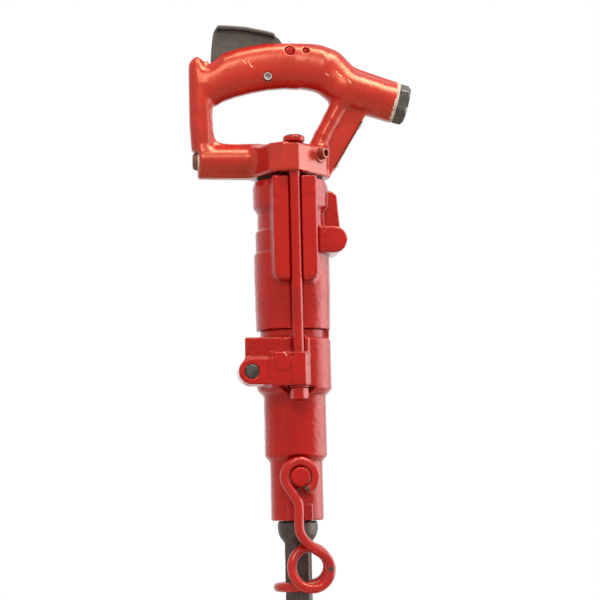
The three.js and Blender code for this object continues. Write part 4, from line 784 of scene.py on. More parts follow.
def cylinder(x, y, z, sizes):
    """Cylinder: barrel with a rod pad front and rear, the exhaust boss and its ridge."""
    fillet, edge = sizes.fillet, sizes.edge
    pad_plan = crossed(between(x, -PAD_HALF_WIDTH, PAD_HALF_WIDTH),
                       between(z, PAD_FOOT, CYLINDER_TOP + THROUGH / 2), PAD_CORNER)
    pad = crossed(pad_plan, between(np.abs(y), BARREL_RADIUS / 2, PAD_REACH), edge * 2)
    round_boss = cross_rod(x, y, z, (EXHAUST_ACROSS, EXHAUST_HEIGHT), EXHAUST_FRONT, EXHAUST_REAR,
                           EXHAUST_RADIUS, edge)
    root = block(x, y, z, (EXHAUST_LEFT, EXHAUST_FRONT, EXHAUST_HEIGHT - EXHAUST_RADIUS),
                 (EXHAUST_ACROSS, EXHAUST_REAR, EXHAUST_HEIGHT + EXHAUST_RADIUS), edge)
    ridge_corners = [
        (BARREL_RADIUS / 2, EXHAUST_HEIGHT), (RIDGE_REACH, EXHAUST_HEIGHT),
        (RIDGE_REACH, EXHAUST_HEIGHT + EXHAUST_RADIUS),
        (EXHAUST_ACROSS + EXHAUST_RADIUS / 2, RIDGE_TOP - EXHAUST_RADIUS / 3),
        (BARREL_RADIUS + EXHAUST_RADIUS / 5, RIDGE_TOP), (BARREL_RADIUS / 2, RIDGE_TOP),
    ]
    ridge = crossed(outline(x, z, ridge_corners), between(y, -RIDGE_HALF, RIDGE_HALF), edge)
    body = joined(fillet * 0.7, barrel(x, y, z), pad)
    body = joined(fillet * 0.35, body, joined(1, round_boss, root), ridge)
    body = np.maximum(body, between(z, HEAD_TOP, CYLINDER_TOP))
    groove = crossed(between(x, -GROOVE_HALF, GROOVE_HALF), GROOVE_FLOOR - np.abs(y), 1)
    chest_foot = CYLINDER_TOP - CHEST_DEPTH
    port = EXHAUST_OUTLET_RADIUS * 0.7
    return cut(0.9, body, groove,
               rod(x, y, z, (0, 0, HEAD_TOP - OVERSHOOT), (0, 0, CYLINDER_TOP), PISTON_BORE),
               rod(x, y, z, (0, 0, chest_foot), (0, 0, CYLINDER_TOP + OVERSHOOT), CHEST_BORE),
               cross_rod(x, y, z, (EXHAUST_ACROSS, EXHAUST_HEIGHT), EXHAUST_FRONT + EXHAUST_WALL,
                         EXHAUST_REAR + OVERSHOOT, EXHAUST_OUTLET_RADIUS, 1.5),
               block(x, y, z, (0, -port, EXHAUST_HEIGHT - port),
                     (EXHAUST_ACROSS, port, EXHAUST_HEIGHT + port), 1))


def front_head(x, y, z, sizes):
    """Front head: stepped body, lug boss, lock block and ear, trunnions in round pockets."""
    fillet, edge = sizes.fillet, sizes.edge
    at = [0, SHOULDER_FOOT, SHOULDER_TOP, FLARE_FOOT, FLANGE_FOOT - FLARE_LEAD, FLANGE_TOP]
    radii = [LOW_HEAD_RADIUS, LOW_HEAD_RADIUS, MID_HEAD_RADIUS, MID_HEAD_RADIUS, FLANGE_RADIUS,
             FLANGE_RADIUS]
    wall = sum(np.interp(z + shift, at, radii) for shift in (-1.2, -0.4, 0.4, 1.2)) / 4
    around = np.hypot(x, y)
    stepped = crossed(around - wall, between(z, 0, FLANGE_TOP), edge)
    throat = crossed(around - NECK_RADIUS, between(z, FLANGE_TOP - 8, HEAD_TOP), 0.8)
    lock_block = crossed(outline(x, y, [
        (-BLOCK_REACH, -BLOCK_DEPTH), (BOSS_RIGHT, -BLOCK_DEPTH), (BOSS_RIGHT, BLOCK_REAR),
        (-BLOCK_REAR_REACH, BLOCK_REAR)]), between(z, FLANGE_FOOT + 2, FLANGE_TOP), edge)
    back = BOSS_DEPTH - BOSS_CHAMFER * 1.6
    rise = between(z, FLANGE_FOOT, FLANGE_FOOT + BOSS_HEIGHT)
    side = np.abs(y)
    flank = crossed(np.maximum(between(x, BOSS_LEFT, 0), side - BOSS_DEPTH + FLANK_SET_BACK),
                    rise, edge)
    boss = crossed(outline(x, side, [
        (BOSS_RIGHT - BOSS_FACE_WIDTH - BOSS_DRAFT, 0), (BOSS_RIGHT - BOSS_FACE_WIDTH, BOSS_DEPTH),
        (BOSS_RIGHT - BOSS_CHAMFER, BOSS_DEPTH), (BOSS_RIGHT, back), (BOSS_RIGHT, 0)]), rise, edge * 0.8)
    ear_outline = strap((EAR_ACROSS, EAR_HEIGHT), EAR_RADIUS + 1e-3,
                        (BOSS_LEFT + EAR_RADIUS, EAR_HEIGHT), EAR_RADIUS)
    ear = crossed(outline(x, z, ear_outline), between(y, EAR_FRONT, EAR_REAR), edge)
    fill = block(x, y, z, (0, -NECK_RADIUS / 2, FLANGE_TOP),
                 (NECK_RADIUS + 0.8, NECK_RADIUS / 2, HEAD_TOP), 1)
    mouth_pad = block(x, y, z, (-MOUTH_PAD_HALF, -MOUTH_PAD_REACH, 0),
                      (MOUTH_PAD_HALF, MOUTH_PAD_REACH, MOUTH_PAD_HEIGHT), 1)
    body = joined(1, stepped, throat, fill, mouth_pad)
    shield = crossed(outline(x, z, SHIELD_OUTLINE), between(side, BOSS_DEPTH - SHIELD_DEPTH, BOSS_DEPTH), 1)
    shield = np.maximum(shield, z - FLANGE_FOOT - BOSS_HEIGHT + SHIELD_TOP_GAP)
    body = joined(fillet * 0.5, body, lock_block)
    body = joined(fillet * 0.4, body, joined(1.6, joined(2.4, flank, boss), shield))
    body = joined(4, body, ear)
    pocket = crossed(np.hypot(x, z - TRUNNION_HEIGHT) - POCKET_RADIUS, POCKET_REACH - side, 1.5)
    body = cut(3, body, pocket)
    trunnion = crossed(np.hypot(x, z - TRUNNION_HEIGHT) - TRUNNION_RADIUS, side - TRUNNION_REACH, edge)
    body = joined(2.5, body, trunnion)
    pocket_wall = np.interp(z, [FLARE_FOOT - 6, FLANGE_FOOT - 1],
                            [NUT_POCKET_RADIUS, NUT_POCKET_RADIUS * NUT_POCKET_FLARE])
    nut_pocket = crossed(np.hypot(x, side - ROD_REACH) - pocket_wall,
                         between(z, FLARE_FOOT - NUT_HEIGHT, FLANGE_FOOT), 0.6)
    rod_hole = crossed(np.hypot(x, side - ROD_REACH) - ROD_RADIUS - PLAY,
                       between(z, FLARE_FOOT, FLANGE_TOP + OVERSHOOT), 0.3)
    slot = crossed(between(x, -GROOVE_HALF, GROOVE_HALF), np.maximum(
        ROD_REACH - GROOVE_HALF - side, FLANGE_FOOT + BOSS_HEIGHT - z), 0.6)
    return cut(0.8, body, nut_pocket, rod_hole, slot,
               crossed(around - BUSHING_SEAT_RADIUS, between(z, -OVERSHOOT, SHOULDER_TOP), 0.3),
               crossed(around - CHUCK_BORE_RADIUS, between(z, SHOULDER_TOP, FLANGE_FOOT), 0.3),
               crossed(around - STEM_BORE_RADIUS, between(z, FLARE_FOOT, HEAD_TOP), 0.3),
               crossed(around - PISTON_BORE, between(z, HEAD_TOP - 10, HEAD_TOP + OVERSHOOT), 0.3),
               cross_rod(x, y, z, (EAR_ACROSS, EAR_HEIGHT), EAR_FRONT - OVERSHOOT,
                         BLOCK_REAR + OVERSHOOT, LOCK_PIN_RADIUS + PLAY))


def on_lever(shares):
    """Places on the lever from shares of its length and crown, about its pivot."""
    return PIVOT + np.array(shares) * [LEVER_LENGTH, LEVER_CROWN]


def lever(x, y, z, sizes):
    """Throttle lever: web, thin top rim, hub and arm, with the pivot's bore."""
    web_line = np.vstack([curve_through(on_lever(LEVER_CROWN_SHARES), 40), on_lever(LEVER_FOOT_SHARES)])
    thin = between(y, -LEVER_WEB_HALF, LEVER_WEB_HALF)
    web = crossed(outline(x, z, web_line), thin, 1.2)
    rim_top = curve_through(on_lever(LEVER_CROWN_SHARES[4:10]), 16)
    rim_line = np.vstack([rim_top, (rim_top - [0, LEVER_RIM_THICKNESS])[::-1]])
    rim = crossed(outline(x, z, rim_line), between(y, -LEVER_RIM_HALF, LEVER_RIM_HALF), 1.1)
    hub = cross_rod(x, y, z, PIVOT, -LEVER_WEB_HALF, LEVER_WEB_HALF, LEVER_HUB_RADIUS, 0.8)
    arm = crossed(outline(x, z, strap(PIVOT, LEVER_HUB_RADIUS * 0.8, lever_tip(), LEVER_TIP_RADIUS)),
                  thin, 0.8)
    tail = block(x, y, z, (PIVOT[0], -LEVER_WEB_HALF, REST_PIN[1] + REST_PIN_RADIUS + PLAY),
                 (REST_PIN[0] + REST_PIN_RADIUS, LEVER_WEB_HALF, PIVOT[1] + REST_PIN_RADIUS * 2.3), 0.8)
    body = joined(sizes.edge, web, rim, hub, arm, tail)
    return cut(0.4, body, cross_rod(x, y, z, PIVOT, -THROUGH, THROUGH, PIVOT_RADIUS + PLAY))


def drill_steel(x, y, z, sizes):
    """Hexagon steel: three pairs of flats, a forged collar, a flared bit with a slot, and a bore."""
    flats = -np.inf
    for step in range(3):
        turn = STEEL_TURN + math.pi / 6 + step * math.pi / 3
        flats = np.maximum(flats, np.abs(x * math.cos(turn) + y * math.sin(turn)) - STEEL_FLATS / 2)
    around = np.hypot(x, y)
    sides = np.maximum(flats, around - STEEL_FLATS * STEEL_CORNER_SHARE)
    bar = crossed(sides, between(z, STEEL_FOOT, STEEL_TOP), 0.8)
    share, wall = np.array(COLLAR_SHARES).T
    collar_wall = sum(np.interp(z + shift, -COLLAR_LENGTH * share, wall * COLLAR_RADIUS)
                      for shift in (-0.7, 0, 0.7)) / 3
    collar = crossed(around - collar_wall, between(z, -COLLAR_LENGTH, -PLAY), 0.9)
    bit_share = np.clip((STEEL_FOOT + BIT_LENGTH - z) / BIT_LENGTH, 0, 1)
    bit_wall = STEEL_FLATS / 2 + bit_share * (BIT_RADIUS - STEEL_FLATS / 2)
    bit = crossed(around - bit_wall, between(z, STEEL_FOOT, STEEL_FOOT + BIT_LENGTH), 0.8)
    body = joined(4, joined(0.6, bar, collar), bit)
    return cut(0.5, body, block(x, y, z, (-THROUGH, -INSERT_HALF, STEEL_FOOT - OVERSHOOT),
                                (THROUGH, INSERT_HALF, STEEL_FOOT + INSERT_LENGTH), 0.3),
               rod(x, y, z, (0, 0, STEEL_FOOT - OVERSHOOT), (0, 0, STEEL_TOP + OVERSHOOT),
                   FLUSH_HOLE_RADIUS))


# Meshes


def mesh_object(name, points, faces, attributes=None, sharp_degrees=None):
    """Object of points in millimetres above the mouth and faces, smooth but for sharp edges."""
    mesh = bpy.data.meshes.new(name)
    mesh.from_pydata((np.asarray(points) * MM + [0, 0, MOUTH]).tolist(), [], faces)
    mesh.update()
    mesh.shade_smooth()
    if sharp_degrees:
        mesh.set_sharp_from_angle(angle=math.radians(sharp_degrees))
    for key, values in (attributes or {}).items():
        layer = mesh.attributes.new(key, "FLOAT", "POINT")
        layer.data.foreach_set("value", np.asarray(values, np.float32))
    piece = bpy.data.objects.new(name, mesh)
    bpy.context.scene.collection.objects.link(piece)
    return piece


def surface_net(field, low, high, cell):
    """Points and quads of a field's zero surface: one point per grid cell that the surface crosses,
    at the mean of its crossings of the cell's edges, and one quad round each crossed edge."""
    axes = [np.arange(a - 2 * cell, b + 3 * cell, cell) for a, b in zip(low, high)]
    grid = np.meshgrid(*axes, indexing="ij", sparse=True)
    values = np.broadcast_to(field(*grid), [len(a) for a in axes]).astype(np.float32)
    inside = values < 0
    strides = np.array([len(axes[1]) * len(axes[2]), len(axes[2]), 1])
    cells, places = [], []
    for axis in range(3):
        near = np.take(inside, range(len(axes[axis]) - 1), axis)
        far = np.take(inside, range(1, len(axes[axis])), axis)
        corners = np.argwhere(near != far)
        first = values[tuple(corners.T)]
        beyond = corners.copy()
        beyond[:, axis] += 1
        second = values[tuple(beyond.T)]
        place = corners.astype(float)
        place[:, axis] += first / (first - second)
        b, c = np.eye(3, dtype=int)[[(axis + 1) % 3, (axis + 2) % 3]]
        around = np.stack([corners - b - c, corners - c, corners, corners - b], 1)
        around[first > 0] = around[first > 0][:, ::-1]
        cells.append(around @ strides)
        places.append(np.repeat(place[:, None], 4, axis=1))
    cells, places = np.concatenate(cells), np.concatenate(places).reshape(-1, 3)
    _, index = np.unique(cells.ravel(), return_inverse=True)
    count = np.bincount(index)
    mean = np.stack([np.bincount(index, places[:, k]) / count for k in range(3)], 1)
    origin = np.array([a[0] for a in axes])
    return mean * cell + origin, index.reshape(-1, 4)


def slope(field, points, step):
    """Value, gradient and bend of a field at points, from its differences along each axis."""
    middle = field(*points.T)
    gradient, total = np.zeros_like(points), -6 * middle
    for axis in range(3):
        shift = np.zeros(3)
        shift[axis] = step
        ahead, behind = field(*(points + shift).T), field(*(points - shift).T)
        gradient[:, axis] = (ahead - behind) / (2 * step)
        total = total + ahead + behind
    return middle, gradient, total / step


def ripple(points, length, seed, count=14):
    """Sum of sine waves in random directions, with wavelengths near a length."""
    rng = np.random.default_rng(seed)
    ways = rng.normal(size=(count, 3))
    ways /= np.linalg.norm(ways, axis=1)[:, None]
    waves = ways * (2 * math.pi / (length * rng.uniform(0.6, 1.7, count)))[:, None]
    return np.sin(points @ waves.T + rng.uniform(0, 2 * math.pi, count)).sum(1) / math.sqrt(count)


def casting(name, shape, sizes, node, cell, sand):
    """Piece on a distance field: its net is drawn onto the surface by steps along the gradient, then
    moved along its normals by sand waves. Its edge attribute is above zero on ridges."""
    low, high = span(node)

    def field(x, y, z):
        return shape(x, y, z, sizes)

    points, faces = surface_net(field, low, high, cell)
    for _ in range(3):
        value, gradient, _ = slope(field, points, 0.05)
        size = np.maximum((gradient ** 2).sum(1), 0.2)
        move = np.clip(value / size, -0.5 * cell, 0.5 * cell)
        points -= gradient * move[:, None]
    _, gradient, edge = slope(field, points, 1.0)
    normal = gradient / np.maximum(np.linalg.norm(gradient, axis=1), 1e-6)[:, None]
    waves = sum(ripple(points, length, seed) for length, seed in SAND_WAVES) / len(SAND_WAVES)
    points += normal * (waves * sand(points))[:, None]
    points = np.clip(points, low, high)
    return mesh_object(name, points, faces.tolist(), {"edge": edge})


def eased(profile, radius, steps=4, closed=False):
    """Profile with each corner replaced by a short curve that starts a radius before it."""
    p = np.asarray(profile, float)
    count = len(p)
    made = []
    for k in range(count):
        if not closed and k in (0, count - 1):
            made.append(p[k][None])
            continue
        before, corner, after = p[k - 1], p[k], p[(k + 1) % count]
        legs = [before - corner, after - corner]
        reach = [min(radius, np.linalg.norm(leg) * 0.45) for leg in legs]
        a, b = (corner + leg / np.linalg.norm(leg) * r for leg, r in zip(legs, reach))
        t = np.linspace(0, 1, steps)[:, None]
        made.append((1 - t) ** 2 * a + 2 * t * (1 - t) * corner + t ** 2 * b)
    return np.vstack(made)


def grid_faces(rows, sides, closed=False):
    """Quads between successive rings of points, each ring closed on itself."""
    row, side = np.meshgrid(np.arange(rows if closed else rows - 1), np.arange(sides), indexing="ij")
    after, beside = (row + 1) % rows, (side + 1) % sides
    quads = [row * sides + side, row * sides + beside, after * sides + beside, after * sides + side]
    return np.stack(quads, -1).reshape(-1, 4)


def capped(points, quads, sides, caps):
    """Adds a middle point to the first and last ring and closes each with a fan."""
    rings = points.reshape(-1, sides, 3)
    side = np.arange(sides)
    beside = (side + 1) % sides
    count = len(points)
    last = count - sides
    fans = [np.stack([np.full(sides, count), beside, side], 1),
            np.stack([np.full(sides, count + 1), last + side, last + beside], 1)]
    middles = [rings[0].mean(0), rings[-1].mean(0)] if caps is None else caps
    return np.vstack([points, *np.atleast_2d(middles)]), quads.tolist() + fans[0].tolist() + fans[1].tolist()


def hexagon_radius(angle, flats, power=44):
    """Distance from the middle of a hexagon to its side, its corners slightly rounded."""
    flat = [np.abs(np.cos(angle - k * math.pi / 3)) ** power for k in range(3)]
    return flats / 2 / sum(flat) ** (1 / power)


def turned(name, profile, start, way, sides=48, flats=None, turn=0.0, ring=False, sharp=35):
    """Turned piece: a profile of [radius, distance] carried round a line, where given no further
    out than a hexagon. A ring's profile closes on itself, any other ends on flat caps."""
    way = np.asarray(way, float) / np.linalg.norm(way)
    helper = np.array([0, 1.0, 0]) if abs(way[1]) < 0.9 else np.array([1.0, 0, 0])
    u = np.cross(helper, way)
    u /= np.linalg.norm(u)
    v = np.cross(way, u)
    angle = np.arange(sides) * 2 * math.pi / sides
    radius, along = np.asarray(profile, float).T
    reach = np.repeat(radius[:, None], sides, axis=1)
    if flats:
        reach = np.minimum(reach, hexagon_radius(angle - turn, flats)[None])
    points = (np.asarray(start, float) + along[:, None, None] * way
              + reach[..., None] * (np.cos(angle)[:, None] * u + np.sin(angle)[:, None] * v))
    points = points.reshape(-1, 3)
    quads = grid_faces(len(radius), sides, ring)
    if ring:
        return mesh_object(name, points, quads.tolist(), sharp_degrees=sharp)
    return mesh_object(name, *capped(points, quads, sides, None), sharp_degrees=sharp)


def tube(name, path, radius, sides=20):
    """Round wire: a circle carried along a path without twist, closed by rounded ends."""
    ways = np.gradient(path, axis=0)
    ways /= np.linalg.norm(ways, axis=1)[:, None]
    across = [np.array([0.0, 1.0, 0.0])]
    for way in ways:
        side = across[-1] - way * (across[-1] @ way)
        across.append(side / np.linalg.norm(side))
    across = np.array(across[1:])
    up = np.cross(ways, across)
    angle = np.arange(sides) * 2 * math.pi / sides
    tips = np.array([0.45, 0.8, 0.96])
    reach = np.concatenate([tips, np.ones(len(path)), tips[::-1]])
    shift = np.sqrt(1 - tips ** 2) * radius * 0.5
    rows = np.vstack([path[0] - ways[0] * shift[:, None], path, path[-1] + ways[-1] * shift[::-1, None]])
    a = np.vstack([np.repeat(across[:1], 3, 0), across, np.repeat(across[-1:], 3, 0)])
    b = np.vstack([np.repeat(up[:1], 3, 0), up, np.repeat(up[-1:], 3, 0)])
    rings = rows[:, None] + radius * reach[:, None, None] * (
        np.cos(angle)[None, :, None] * a[:, None] + np.sin(angle)[None, :, None] * b[:, None])
    points = rings.reshape(-1, 3)
    quads = grid_faces(len(rows), sides)
    caps = [path[0] - ways[0] * radius * 0.52, path[-1] + ways[-1] * radius * 0.52]
    return mesh_object(name, *capped(points, quads, sides, caps))


# Finishes


class Value:
    """A node's output with arithmetic: an operator adds a Math node, or a Vector Math node to a vector."""

    def __init__(self, tree, output):
        self.tree = tree
        self.output = output

    def maths(self, operation, *values):
        """Result of one operation on values and numbers."""
        vector = any(isinstance(v, Value) and v.output.type == "VECTOR" for v in values)
        node = self.tree.nodes.new("ShaderNodeVectorMath" if vector else "ShaderNodeMath")
        node.operation = operation
        for place, value in zip(node.inputs, values):
            if isinstance(value, Value):
                self.tree.links.new(value.output, place)
            else:
                place.default_value = [value] * 3 if vector else value
        return Value(self.tree, node.outputs[0])

    def __add__(self, other):
        return self.maths("ADD", self, other)

    def __radd__(self, other):
        return self.maths("ADD", other, self)

    def __sub__(self, other):
        return self.maths("SUBTRACT", self, other)

    def __rsub__(self, other):
        return self.maths("SUBTRACT", other, self)

    def __mul__(self, other):
        return self.maths("MULTIPLY", self, other)

    def __rmul__(self, other):
        return self.maths("MULTIPLY", other, self)

    def __truediv__(self, other):
        return self.maths("DIVIDE", self, other)

    def __rtruediv__(self, other):
        return self.maths("DIVIDE", other, self)

    def __pow__(self, other):
        return self.maths("POWER", self, other)

    def __rpow__(self, other):
        return self.maths("POWER", other, self)

    def least(self, other):
        """The lesser of two values."""
        return self.maths("MINIMUM", self, other)

    def most(self, other):
        """The greater of two values."""
        return self.maths("MAXIMUM", self, other)


class Finish:
    """Node tree of one material, on Object coordinates in millimetres."""

    def __init__(self, name):
        self.material = bpy.data.materials.new(name)
        self.material.use_nodes = True
        self.tree = self.material.node_tree
        self.tree.nodes.clear()
        self.place = self.node("ShaderNodeTexCoord", output="Object") * (1 / MM)
        parts = self.node("ShaderNodeSeparateXYZ", {}, {"Vector": self.place}, None)
        self.x, self.y, self.z = (Value(self.tree, parts.outputs[k]) for k in range(3))

    def node(self, kind, settings=None, inputs=None, output=0):
        """Adds a node: its settings, then its socket values and links by identifier."""
        made = self.tree.nodes.new(kind)
        for key, value in (settings or {}).items():
            setattr(made, key, value)
        for key, value in (inputs or {}).items():
            place = next(i for i in made.inputs if i.identifier == key)
            if isinstance(value, Value):
                self.tree.links.new(value.output, place)
            else:
                place.default_value = value
        if output is None or not made.outputs:
            return made
        if isinstance(output, str):
            output = next(k for k, o in enumerate(made.outputs) if o.identifier == output)
        return Value(self.tree, made.outputs[output])

    def noise(self, size, detail=3, roughness=0.55, distortion=0.0, stretch=None):
        """Noise with features of a size in millimetres, from 0 to 1."""
        at = self.place
        if stretch:
            at = self.node("ShaderNodeVectorMath", {"operation": "MULTIPLY"},
                           {"Vector": self.place, "Vector_001": stretch})
        return self.node("ShaderNodeTexNoise", {"noise_dimensions": "3D"}, {
            "Vector": at, "Scale": 1 / size, "Detail": detail, "Roughness": roughness,
            "Distortion": distortion}, "Fac")

    def pits(self, size):
        """Distance to the nearest of scattered points, which lie a size in millimetres apart."""
        return self.node("ShaderNodeTexVoronoi", {"feature": "F1"}, {
            "Vector": self.place, "Scale": 1 / size, "Randomness": 1.0}, "Distance")

    def step(self, value, low, high):
        """Eased rise from 0 to 1 between two values, or fall where the first is the greater."""
        return self.node("ShaderNodeMapRange", {"interpolation_type": "SMOOTHSTEP"}, {
            "Value": value, "From Min": low, "From Max": high})

    def mix(self, first, second, share):
        """Colour between two colours."""
        return self.node("ShaderNodeMix", {"data_type": "RGBA"}, {
            "Factor_Float": share, "A_Color": first, "B_Color": second}, "Result_Color")

    def edges(self):
        """The mesh's edge attribute: above zero on ridges, below in creases, zero where there is none."""
        return self.node("ShaderNodeAttribute", {"attribute_name": "edge"}, {}, "Fac")

    def near(self, centre, radius, ragged=0.8):
        """Spot round a point above the mouth, with an edge made ragged by noise."""
        x, y, z = centre
        z += MOUTH / MM
        apart = ((self.x - x) ** 2 + (self.y - y) ** 2 + (self.z - z) ** 2) ** 0.5
        apart = apart / radius + (self.noise(2.2, 4) - 0.5) * 2 * ragged
        return self.step(apart, 1.0, 0.85)

    def scored(self, scratches):
        """Scratches on the front: how near each point is to any of the lines, made ragged by noise."""
        ragged = (self.noise(0.9, 4) - 0.5) * 1.1
        worst = None
        for ax, az, bx, bz, half in scratches:
            ex, ez = bx - ax, bz - az
            off_x, off_z = self.x - ax, self.z - (az + MOUTH / MM)
            along = ((off_x * ex + off_z * ez) * (1 / (ex * ex + ez * ez))).most(0.0).least(1.0)
            apart = ((off_x - along * ex) ** 2 + (off_z - along * ez) ** 2) ** 0.5
            mark = self.step(apart + ragged, half, half * 0.4)
            worst = mark if worst is None else worst.most(mark)
        return worst * self.step(self.y, -2.0, -4.0)

    def close(self, colour, roughness, metallic, bump, depth, **constants):
        """Ends the tree with a surface; its bump is in millimetres of a given depth."""
        normal = self.node("ShaderNodeBump", {}, {"Height": bump, "Distance": depth * MM, "Strength": 1.0})
        inputs = {"Base Color": colour, "Roughness": roughness, "Metallic": metallic, "Normal": normal}
        inputs.update({key.replace("_", " "): value for key, value in constants.items()})
        shader = self.node("ShaderNodeBsdfPrincipled", {}, inputs)
        self.node("ShaderNodeOutputMaterial", {}, {"Surface": shader})
        return self.material


def rgb(colour, gain=1.0):
    """Colour with full alpha, brightened by a gain. A name stands for one of the user's colours."""
    if isinstance(colour, str):
        colour = getattr(bpy.context.scene.drill_colours, colour)
    return (*(min(c * gain, 1.0) for c in colour), 1.0)


def enamel(name, sand, wear, chips, sheen=0.2, coat=1.0, coat_roughness=0.1, coat_index=1.24):
    """Glossy red enamel: colour varies with paint thickness and is darkened in creases as painted shade;
    fine orange peel, sand-cast dimples and, in spots, chips down to primer and iron."""
    f = Finish(name)
    edge = f.edges()
    fine = f.noise(2.4, 5, 0.6)
    thick = f.step(f.noise(26, 3), 0.35, 0.7)
    # Painted shade: creases are darkened towards the darker red to stand for the shade that falls in them
    crease_shade = f.step(edge, -0.05, -0.45)
    colour = f.mix(rgb("enamel"), rgb("enamel", 0.82), thick)
    colour = f.mix(colour, rgb("enamel_shade"), crease_shade * 0.6)
    ridge = f.step(edge, 0.12, 0.5)
    ragged = f.noise(1.3, 5, 0.7)
    bare = f.step(ridge * wear + ragged * 0.75 + f.noise(17, 2) * 0.5, 1.06, 1.1)
    for x, y, z, radius in chips:
        bare = bare.most(f.near((x, y, z), radius))
    iron = f.mix(rgb(BARE_IRON), rgb(PRIMER), f.step(fine, 0.5, 0.62))
    colour = f.mix(colour, iron, bare)
    colour = f.mix(colour, rgb(SCRATCH), f.scored(SCRATCHES))
    peel = f.noise(1.1, 2, 0.5)
    dimple = f.step(f.pits(3.4), 0.0, 0.75)
    waves = f.noise(5.2, 3, 0.5)
    bump = (peel * 0.11 + dimple * sand + waves * sand * 1.6) - bare * 1.2
    rough = 0.22 + fine * 0.1 + f.step(f.noise(9, 4), 0.45, 0.75) * 0.1 + bare * 0.35
    return f.close(colour, rough, 0.0, bump, 0.12, Specular_IOR_Level=sheen,
                   Specular_Tint=rgb(SHEEN_TINT), Coat_Weight=(1 - bare) * coat,
                   Coat_Roughness=coat_roughness, Coat_IOR=coat_index)


def metal(name, colour, shade, rough, metallic, grain, patches, depth=0.05, rust=0.0, stretch=None,
          shaded_hollow=None):
    """Bare or blackened metal: patches of a darker shade, fine grain, rubbed ridges and some rust.
    Where given, the middle and radius of a recess whose inside is painted dark as painted shade."""
    f = Finish(name)
    fine = f.noise(grain, 6, 0.65, 0.2, stretch)
    cloud = f.noise(patches, 5, 0.6, 0.4)
    base = f.mix(rgb(colour), rgb(shade), f.step(cloud, 0.38, 0.66))
    base = f.mix(base, rgb(colour, 1.5), f.step(fine, 0.56, 0.78) * 0.4)
    rubbed = f.step(f.edges() + (fine - 0.5) * 0.3, 0.2, 0.6)
    base = f.mix(base, rgb(colour, 1.7), rubbed * 0.3)
    brown = f.step(f.noise(patches * 0.7, 6, 0.7) + fine * 0.25, 0.72, 0.86) * rust
    base = f.mix(base, rgb(RUST), brown)
    # Painted shade: the recess's inside is darkened to stand for the shadow in it
    if shaded_hollow:
        base = f.mix(base, rgb(SOCKET_PAINTED_SHADE), f.near(*shaded_hollow, 0.05))
    bump = fine * 0.8 + f.step(f.pits(grain * 2.5), 0.0, 0.6) * 0.4
    return f.close(base, rough + (fine - 0.5) * 0.25 + cloud * 0.12 + brown * 0.25 - rubbed * 0.1,
                   metallic * (1 - brown), bump, depth)


def fibre(name, colour, shade):
    """Pressed fibre or dried sealant: dull, with specks and lumps."""
    f = Finish(name)
    fine = f.noise(0.9, 6, 0.7)
    base = f.mix(rgb(colour), rgb(shade), f.step(fine + f.noise(4.5, 3) * 0.4, 0.62, 0.86))
    return f.close(base, 0.72 + fine * 0.15, 0.0, fine, 0.25, Specular_IOR_Level=0.3)


# Finish of each material slot or special part: how it is made, its material's name and its values
FINISHES = {
    "casting_paint": (enamel, "enamel_on_casting", dict(
        sand=0.16, wear=0.12, chips=(), sheen=0.85, coat=0.5, coat_roughness=0.22)),
    "cylinder_paint": (enamel, "enamel_on_cylinder", dict(sand=0.8, wear=0.12, chips=CYLINDER_CHIPS)),
    "head_paint": (enamel, "enamel_on_front_head", dict(
        sand=1.5, wear=0.12, chips=HEAD_CHIPS, sheen=0.16)),
    "hardware_paint": (enamel, "enamel_on_hardware", dict(sand=0.25, wear=0.1, chips=WORN_HEADS)),
    "wire_paint": (enamel, "enamel_on_wire", dict(
        sand=0.08, wear=0.0, chips=WIRE_CHIPS, sheen=0.16, coat_roughness=0.05, coat_index=1.32)),
    "lever": (metal, "blackened_lever", dict(
        colour="lever", shade=(0.04, 0.034, 0.029), rough=0.42, metallic=0.3, grain=1.2, patches=7)),
    "dark_steel": (metal, "blackened_steel", dict(
        colour=(0.07, 0.066, 0.06), shade=(0.03, 0.03, 0.028), rough=0.38, metallic=0.8, grain=1.4,
        patches=9, depth=0.04, rust=0.3)),
    "bushing": (metal, "grey_brown_steel", dict(
        colour=(0.1, 0.092, 0.08), shade=(0.066, 0.06, 0.054), rough=0.24, metallic=0.9, grain=1.8,
        patches=6, rust=0.4)),
    "forged_steel": (metal, "forged_steel", dict(
        colour="steel", shade=(0.045, 0.03, 0.025), rough=0.38, metallic=0.5, grain=2.4, patches=11,
        depth=0.14, rust=0.5, stretch=(1, 1, 0.3))),
    "bright_steel": (metal, "bright_steel", dict(
        colour=(0.5, 0.48, 0.46), shade=(0.3, 0.28, 0.26), rough=0.28, metallic=1.0, grain=1.2,
        patches=8, depth=0.02, rust=0.1)),
    "bronze": (metal, "bronze", dict(
        colour=(0.42, 0.23, 0.09), shade=(0.22, 0.11, 0.05), rough=0.36, metallic=1.0, grain=1.6,
        patches=8, depth=0.02)),
    # The oil plug's socket is darkened inside as painted shade
    "bronze_plug": (metal, "red_bronze_plug", dict(
        colour=(0.3, 0.055, 0.032), shade=(0.2, 0.035, 0.022), rough=0.28, metallic=0.35, grain=1.6,
        patches=7, depth=0.03, shaded_hollow=plug_socket())),
    "plug_paint": (metal, "brick_red_plug", dict(
        colour=(0.19, 0.062, 0.04), shade=(0.1, 0.036, 0.026), rough=0.5, metallic=0.1, grain=1.5,
        patches=6, depth=0.06, rust=0.2)),
    # Painted shade: the gasket is coloured near black so that it reads as the dark shadow line in the gap
    # under the backhead
    "gasket_fibre": (fibre, "gasket_fibre", dict(
        colour=(0.035, 0.014, 0.011), shade=(0.014, 0.009, 0.008))),
    "sealant": (fibre, "pale_sealant", dict(colour=(0.66, 0.58, 0.47), shade=(0.4, 0.33, 0.26))),
}
finishes_made = {}


def finish_for(key):
    """Finish of a material slot, or of a special part, made once."""
    if key not in finishes_made:
        make, name, values = FINISHES[key]
        finishes_made[key] = make(name, **values)
    return finishes_made[key]


SLOTS = {part["node"]: part["material_slot"] for part in frame["record"]["subparts"]}


